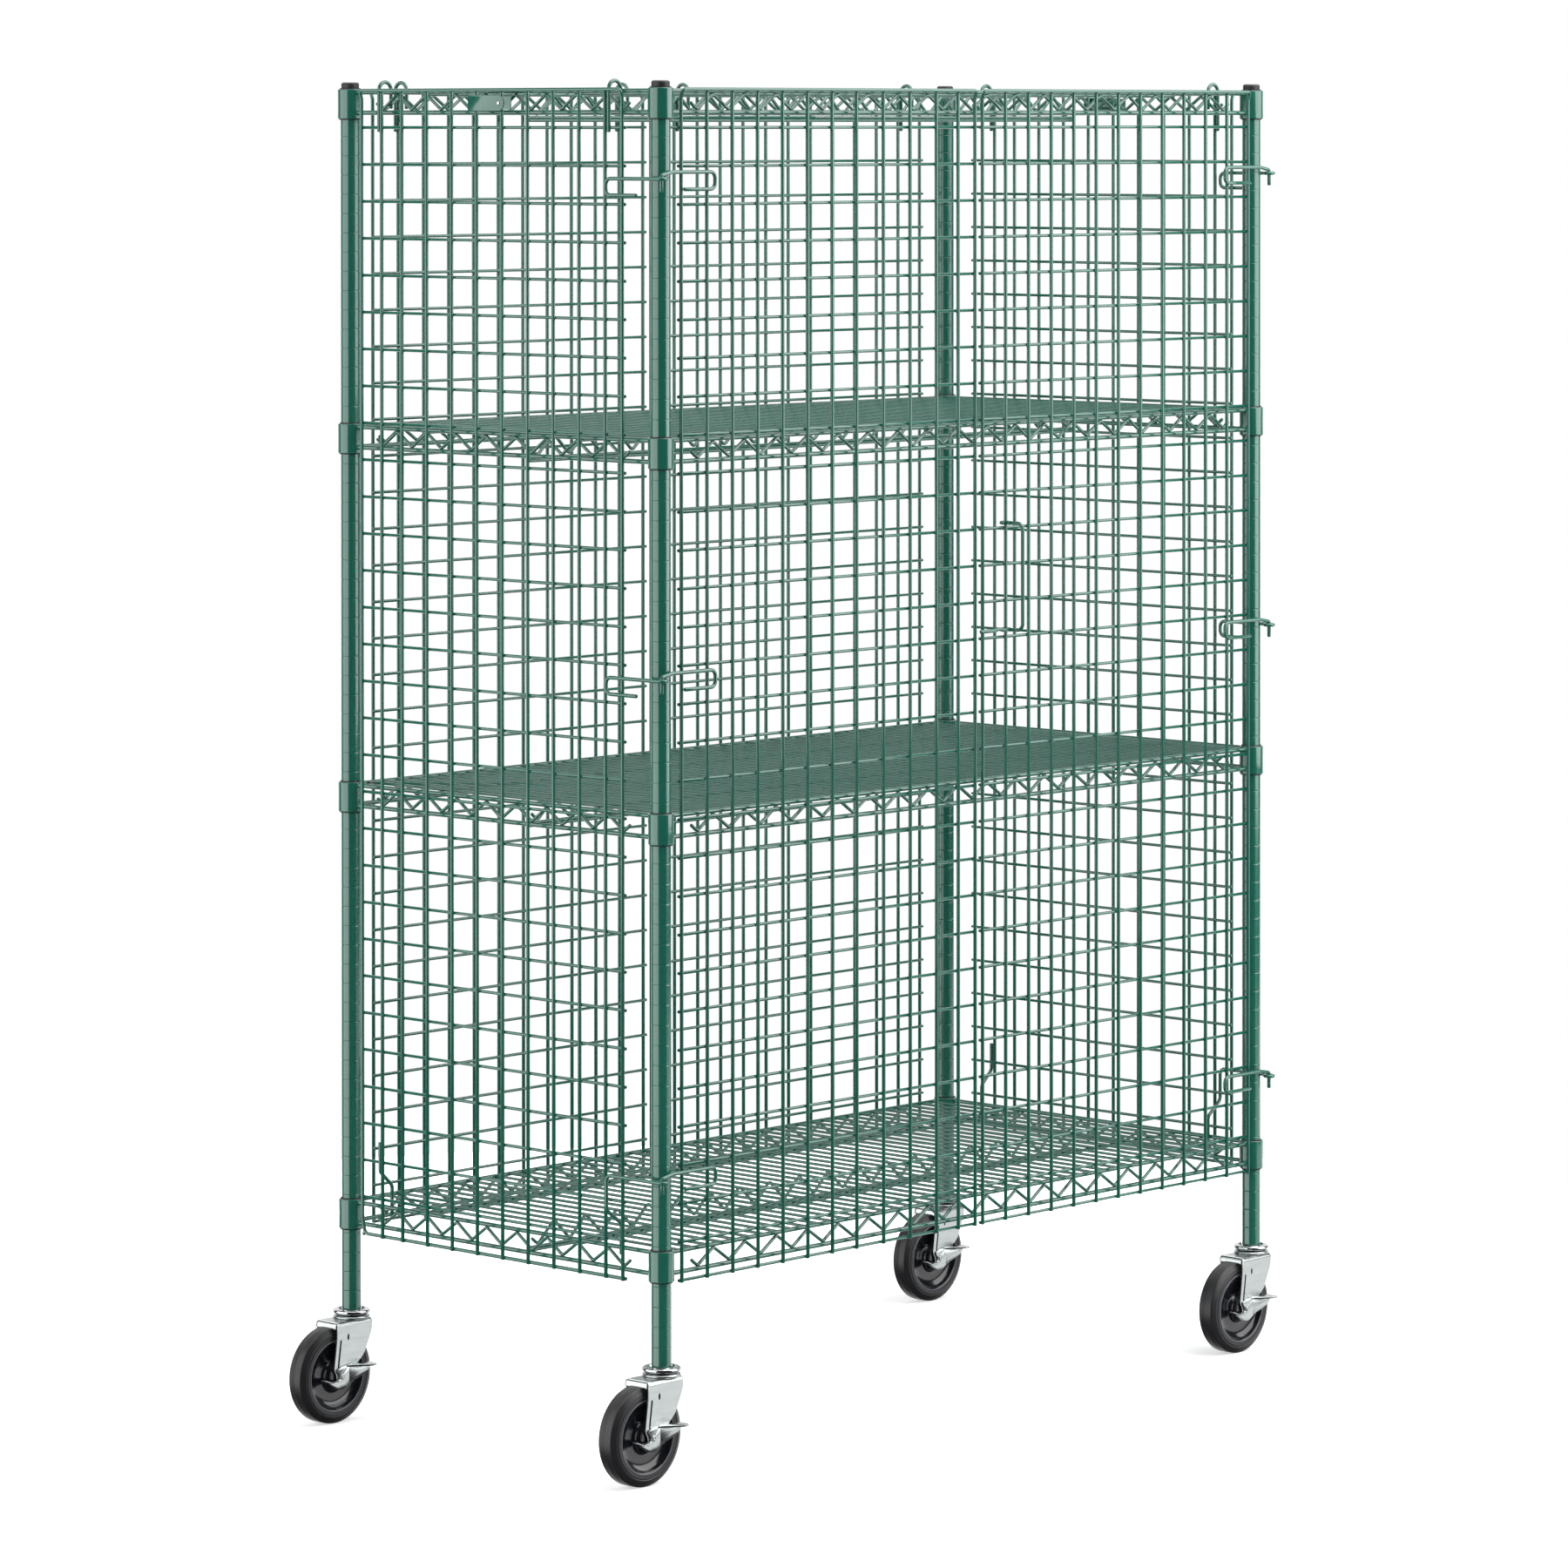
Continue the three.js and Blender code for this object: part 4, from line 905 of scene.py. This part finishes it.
def edgeAt(knots, heights):
    # x of a cheek's edge at given heights, along a smooth curve through its knots
    curve = throughPoints(np.array(knots, float), 10)
    order = np.argsort(curve[:, 0])
    return np.interp(heights, curve[order, 0], curve[order, 1])


def makeFork():
    # one pressed sheet: a path up the near cheek, over the top and down the far cheek, times x across it
    sizes, half, fold = forkSizes, casterSizes["forkHalf"] - casterSizes["sheet"] / 2, casterSizes["fold"]
    top = casterSizes["plateTop"] - casterSizes["sheet"] / 2
    foot = sizes["front"][-1][0]
    rise = foot + (top - fold - foot) * (1 - np.cos(np.linspace(0, math.pi, 34))) / 2
    cheek = beside(-half, rise)
    bend = rounded([(-half, top - fold - 1), (-half, top), (-half + fold + 1, top)], fold, 6)[1:-1]
    roof = beside(np.linspace(-half + fold, half - fold, 9)[1:-1], top)
    over = np.concatenate([cheek, bend, roof, bend[::-1] * (-1, 1), cheek[::-1] * (-1, 1)])
    rear, front = edgeAt(sizes["rear"], over[:, 1]), edgeAt(sizes["front"], over[:, 1])
    share = np.linspace(0, 1, 23)[None, :]
    return sheet(beside(rear[:, None] + (front - rear)[:, None] * share, over[:, :1], over[:, 1:]))


def makeForkLip():
    # the roof's rear edge folded down between the cheeks
    sizes, half = forkSizes, casterSizes["forkHalf"] - casterSizes["sheet"] - 0.2
    top = casterSizes["plateTop"] - casterSizes["sheet"] / 2
    path = rounded([(sizes["rearTop"] + 6, top), (sizes["rearTop"], top),
                    (sizes["rearTop"] - 1.0, top - sizes["lipDrop"])], sizes["lipFold"], 6)
    across = np.linspace(-half, half, 12)[None, :]
    return sheet(beside(path[:, :1], across, path[:, 1:]))


def asPart(piece):
    # the shape of an object with its modifiers, as (points, loops, sizes)
    mesh = bpy.data.meshes.new_from_object(piece.evaluated_get(bpy.context.evaluated_depsgraph_get()))
    points = np.empty(len(mesh.vertices) * 3, np.float32)
    loops = np.empty(len(mesh.loops), np.int32)
    sizes = np.empty(len(mesh.polygons), np.int32)
    mesh.vertices.foreach_get("co", points)
    mesh.loops.foreach_get("vertex_index", loops)
    mesh.polygons.foreach_get("loop_total", sizes)
    bpy.data.meshes.remove(mesh)
    return points.reshape(-1, 3).astype(float) / millimetre, loops, sizes


def drop(*pieces):
    for piece in pieces:
        mesh = piece.data
        bpy.data.objects.remove(piece)
        bpy.data.meshes.remove(mesh)


def thickened(part, thickness, ease, cutters=()):
    # a sheet given its thickness about its middle, cut, then its rims eased
    piece = dress("scratch", part, materials["epoxyGreen"])
    solid = piece.modifiers.new("thickness", "SOLIDIFY")
    solid.thickness, solid.offset, solid.use_even_offset = thickness * millimetre, 0, True
    tools = [dress("scratch", cutter, materials["epoxyGreen"]) for cutter in cutters]
    for tool in tools:
        cut = piece.modifiers.new("opening", "BOOLEAN")
        cut.operation, cut.object, cut.solver = "DIFFERENCE", tool, "EXACT"
    rim = piece.modifiers.new("easedRim", "BEVEL")
    rim.width, rim.segments = ease * millimetre, 2
    rim.limit_method, rim.angle_limit = "ANGLE", math.radians(50)
    bpy.context.view_layer.update()
    made = asPart(piece)
    drop(piece, *tools)
    return made


def makeCutter(outline, depth):
    # a closed outline of (x, z) carried straight through one cheek
    outline = np.asarray(outline, float)
    rings = [beside(outline[:, 0], y, outline[:, 1])
             for y in (-casterSizes["forkHalf"] - 2, -casterSizes["forkHalf"] + depth)]
    return wrapped(np.stack(rings)[:, ::-1])


def makeSlotOutline():
    half = forkSizes["slotHalf"]
    ends = zip(forkSizes["slot"], (0, 180))
    arcs = [(x, z, np.radians(np.linspace(start, start + 180, 7))) for (x, z), start in ends]
    return np.concatenate([beside(x + half * np.cos(angle), z + half * np.sin(angle))
                           for x, z, angle in arcs])


def makeHoleOutline():
    angle = np.linspace(0, 2 * math.pi, 20, endpoint=False)
    (x, z), (halfX, halfZ) = forkSizes["hole"], forkSizes["holeHalf"]
    return beside(x + halfX * np.cos(angle), z + halfZ * np.sin(angle))


def makeRace():
    # lower race of the swivel, domed, on the fork's roof
    race, foot, top = swivelSizes["race"], casterSizes["plateTop"] - 0.6, swivelSizes["raceTop"]
    outline = [(swivelSizes["pin"] + 0.6, foot), (race - 2.2, foot), (race - 0.4, foot + 1.2),
               (race, foot + 2.4),
               (race - 1.4, top - 1.2), (race - 4.5, top), (swivelSizes["pin"] + 0.6, top)]
    return turned(rounded(outline, [0.8, 1.0, 1.2, 1.6, 1.2], 4), 72, closed=True)


def makeStem():
    # kingpin, rolled swivel cup and the plug inside the post, turned as one piece
    sizes = swivelSizes
    foot, lip, seat = sizes["ringFoot"], sizes["ringLip"], sizes["seat"]
    ring, pin, plug, top = sizes["ring"], sizes["pin"], sizes["plug"], sizes["plugTop"]
    lower = rounded([(0.5, sizes["headFoot"]), (sizes["pinHead"] - 2, sizes["headFoot"]),
                     (sizes["pinHead"], sizes["headFoot"] + 2), (sizes["pinHead"], sizes["headFoot"] + 4),
                     (pin, sizes["headFoot"] + 4), (pin, foot + 0.6), (ring - 7, foot + 0.6),
                     (ring - 5, foot),
                     (ring, foot), (ring, lip), (ring - 5.6, lip), (ring - 7.4, seat - 2.2),
                     (14.2, seat - 2.2),
                     (12.9, seat), (plug, seat), (plug, top), (0.5, top)],
                    [1.2, 0.8, 0.4, 0.3, 0.3, 0.8, 0.8, 3.0, 3.1, 1.6, 1.2, 0.6, 0.3, 0.1, 1.5], 8)
    return turned(lower, 72)


def makeLever():
    # stamped brake lever: boss with a claw, an arm bent a little outward, a foot blade and a bent tongue
    sizes, line = leverSizes, leverSizes["line"]
    boss = moved(plateFrom(throughPoints(sizes["boss"], 5, closed=True), sizes["sheet"]), (0, -line, 0))
    arm = plateFrom(throughPoints(sizes["arm"], 6, closed=True), sizes["sheet"])
    arm = moved(spun(moved(arm, (-sizes["armFrom"], 0, 0)), sizes["armTurn"]), (sizes["armFrom"], -line, 0))
    blade = laidOnY(plateFrom(throughPoints(sizes["blade"], 6, closed=True), sizes["sheet"] * 0.9))
    blade = moved(blade, (0, -line, sizes["bladeHeight"]))
    path = throughPoints(sizes["tongue"], 5)
    following = unit(np.gradient(path, axis=0))
    normal = beside(-following[:, 1], following[:, 0])
    inner, outer = sizes["tongueInner"], sizes["tongueOuter"]
    corners = [(-1, -inner), (1, -inner), (1, -outer + 1), (0.4, -outer), (-0.4, -outer), (-1, -outer + 1)]
    rings = [beside(path[:, 0] + side * normal[:, 0], y, path[:, 1] + side * normal[:, 1])
             for side, y in corners]
    return joined(boss, arm, blade, wrapped(np.stack(rings, 1)))


def makeBolt():
    # axle between the cheeks, a washer and a hollow rivet end on each side
    sizes = boltSizes
    near, far = casterSizes["forkHalf"] + 3.1, casterSizes["forkHalf"] + 0.3

    def end(seat):
        head = seat + sizes["height"]
        return [(sizes["shank"], seat), (sizes["washer"], seat),
                (sizes["washer"], seat + sizes["washerHeight"]),
                (sizes["rivet"], seat + sizes["washerHeight"]), (sizes["rivet"], head),
                (sizes["hollow"], head),
                (sizes["hollow"] - 0.4, head - sizes["sink"]), (0.4, head - sizes["sink"])]

    eased, other = (rounded(end(seat), [0.1, 0.12, 0.1, 0.8, 0.3, 0.2], 4) for seat in (near, far))
    return laidOnY(turned(np.concatenate([other[::-1] * (1, -1), eased]), 40))


slotCut = makeCutter(makeSlotOutline(), casterSizes["sheet"] + 3)
holeCut = makeCutter(makeHoleOutline(), casterSizes["sheet"] + 3)
forkBody = joined(thickened(makeFork(), casterSizes["sheet"], 0.5, (slotCut, holeCut)),
                  thickened(makeForkLip(), casterSizes["sheet"] - 0.4, 0.4), makeRace())
axleOffset = (-casterSizes["trail"], 0, casterSizes["axle"])
casterParts = [
    ("caster_fork", "", forkBody, "brightZinc", "caster", "bright_zinc"),
    ("axle_bolt", "", moved(makeBolt(), axleOffset), "brightZinc", "caster", "bright_zinc"),
    ("caster_stem", "", makeStem(), "swivelChrome", None, "swivel_chrome"),
    ("wheel", "_tread", moved(makeTread(), axleOffset), "treadGrey", "caster_wheel", "tread_grey"),
    ("wheel", "_core", moved(makeCore(), axleOffset), "coreBlack", "caster_wheel", "tread_grey"),
    # the rim bead carries the painted highlight on the core's edge
    ("wheel", "_rim", moved(makeCoreRim(), axleOffset), "coreRim", "caster_wheel", "tread_grey"),
    ("brake_lever", "", moved(makeLever(), axleOffset), "brightZinc", "caster_brake", "bright_zinc"),
]
for corner in cornerNames:
    x, y = postAt[corner]
    for node, suffix, part, finish, body, slot in casterParts:
        cover(f"{node}_{corner}", moved(part, (x, y, 0)), finish,
              f"{body}_{corner}" if body else "cage_frame", f"{node}{suffix}_{corner}")
print("casters made")


# floor, light and camera

studio = dict(floorReach=2.0, floorColor="f4f4f4", floorTint="ededed", floorLift=0.52, floorWhite=1.0,
              fadeFrom=0.7, fadeTo=1.5, world=0.28, roomLevel=0.03, backdropLevel=1.0,
              backdropAzimuth=43.0, backdropFrom=0.45, backdropTo=0.8)
keyLights = {
    # azimuth and distance from the cage's middle, own height and the height faced, in metres and watts
    "leftPanel": dict(azimuth=160, distance=5.2, height=1.3, aim=1.1, size=(7.4, 6.6), power=330),
    "rightPanel": dict(azimuth=302, distance=1.9, height=2.45, aim=1.1, size=(2.6, 5.0), power=130),
    "lowPanel": dict(azimuth=320, distance=3.4, height=-0.75, aim=-0.75, size=(5.2, 1.6), power=31),
    "overhead": dict(azimuth=200, distance=0.6, height=5.0, aim=1.1, size=(4.6, 4.6), power=95),
}
lens = dict(yaw=46.974, pitch=-0.501, roll=-0.028, focal=7234.08, width=1800, centreX=910.77, centreY=206.05,
            away=8553.1, beside=-27.0, below=-46.6, sensor=36.0)


def seenLevels(tree, lit, mirrored, seen):
    # strength: the lit level for diffuse light, the mirrored level for glossy and glass rays,
    # the seen level for the camera; each may be a number or a socket
    path = addNode(tree, "LightPath").outputs
    sharp = combined(tree, "MAXIMUM", path["Is Glossy Ray"], path["Is Transmission Ray"])
    level = lit
    for share, value in ((sharp, mirrored), (path["Is Camera Ray"], seen)):
        level = addNode(tree, "Mix", {0: share, 2: level, 3: value}, data_type="FLOAT").outputs[0]
    return level


def makeFloor():
    # a round floor: (r cos a, r sin a, 0)
    radius = np.linspace(0.001, studio["floorReach"], 3)[:, None] / millimetre
    angle = np.linspace(0, 2 * math.pi, 97)[None, :]
    disc = beside(cageX + radius * np.cos(angle), cageY + radius * np.sin(angle), 0)
    piece = dress("floor", sheet(disc[:, ::-1]))
    material, tree, shader = newMaterial("paleFloor")
    place = addNode(tree, "TexCoord").outputs["Object"]
    noise = addNode(tree, "TexNoise", {"Vector": place, "Scale": 3.0}).outputs["Fac"]
    away = addNode(tree, "VectorMath", {0: place}, operation="LENGTH").outputs["Value"]
    lift = addNode(tree, "MapRange", {
        "Value": away, "From Min": studio["fadeFrom"], "From Max": studio["fadeTo"],
        "To Min": studio["floorLift"], "To Max": studio["floorWhite"]}, interpolation_type="SMOOTHSTEP")
    feed(tree, shader, {
        "Base Color": mixed(tree, noise, fromHex(studio["floorColor"]), fromHex(studio["floorTint"])),
        "Roughness": 0.9, "Specular IOR Level": 0.0, "Emission Color": (1, 1, 1, 1),
        "Emission Strength": seenLevels(tree, 0.0, 0.0, lift.outputs["Result"])})
    piece.data.materials.append(material)
    # the cage's gloss mirrors the light panels past the floor
    piece.visible_glossy = False


def makeWorld():
    world = bpy.data.worlds.new("studio")
    bpy.context.scene.world = world
    world.use_nodes = True
    tree = world.node_tree
    # the white backdrop stands behind the cage; mirrored rays see it there and a dimmer room elsewhere
    angle = math.radians(studio["backdropAzimuth"])
    place = addNode(tree, "TexCoord").outputs["Generated"]
    toward = addNode(tree, "VectorMath", {0: place, 1: (math.cos(angle), math.sin(angle), 0)},
                     operation="DOT_PRODUCT").outputs["Value"]
    room = addNode(tree, "MapRange", {
        "Value": toward, "From Min": studio["backdropFrom"], "From Max": studio["backdropTo"],
        "To Min": studio["roomLevel"], "To Max": studio["backdropLevel"]}, interpolation_type="SMOOTHSTEP")
    feed(tree, tree.nodes["Background"].inputs, {
        "Color": (1, 1, 1, 1),
        "Strength": seenLevels(tree, studio["world"], room.outputs["Result"], 1.0)})


def makeLights():
    middle = np.array([cageX, cageY, 0]) * millimetre
    for name, values in keyLights.items():
        data = bpy.data.lights.new(name, "AREA")
        data.shape = "RECTANGLE"
        data.size, data.size_y = values["size"]
        data.energy = values["power"]
        lamp = bpy.data.objects.new(name, data)
        angle = math.radians(values["azimuth"])
        outward = np.array([math.cos(angle), math.sin(angle), 0])
        at = middle + outward * values["distance"] + np.array([0, 0, values["height"]])
        toward = middle + np.array([0, 0, values["aim"]]) - at
        back = -unit(toward)
        right = unit(np.cross((0, 0, 1), back))
        columns = np.stack([right, np.cross(back, right), back, at], -1)
        lamp.matrix_world = Matrix([*columns.tolist(), [0, 0, 0, 1]])
        lamp.visible_camera = False
        bpy.context.scene.collection.objects.link(lamp)


def makeCamera():
    yaw, pitch, roll = (math.radians(lens[key]) for key in ("yaw", "pitch", "roll"))
    level = np.array([math.sin(yaw), math.cos(yaw), 0])
    ahead = level * math.cos(pitch) + np.array([0, 0, math.sin(pitch)])
    right = np.array([math.cos(yaw), -math.sin(yaw), 0])
    up = np.cross(right, ahead)
    rightRolled = math.cos(roll) * right + math.sin(roll) * up
    upRolled = -math.sin(roll) * right + math.cos(roll) * up
    place = np.array([cageX, cageY, topLevel + lens["below"]]) - level * lens["away"] + right * lens["beside"]
    data = bpy.data.cameras.new("photoCamera")
    data.sensor_width = lens["sensor"]
    data.lens = lens["focal"] / lens["width"] * lens["sensor"]
    data.shift_x = -(lens["centreX"] - lens["width"] / 2) / lens["width"]
    data.shift_y = (lens["centreY"] - lens["width"] / 2) / lens["width"]
    data.clip_end = 200
    camera = bpy.data.objects.new("photoCamera", data)
    columns = np.stack([rightRolled, upRolled, -ahead, place * millimetre], -1)
    camera.matrix_world = Matrix([*columns.tolist(), [0, 0, 0, 1]])
    bpy.context.scene.collection.objects.link(camera)
    bpy.context.scene.camera = camera


makeFloor()
makeWorld()
makeLights()
makeCamera()
bpy.context.scene.view_settings.view_transform = "Standard"
print("floor, light and camera set")
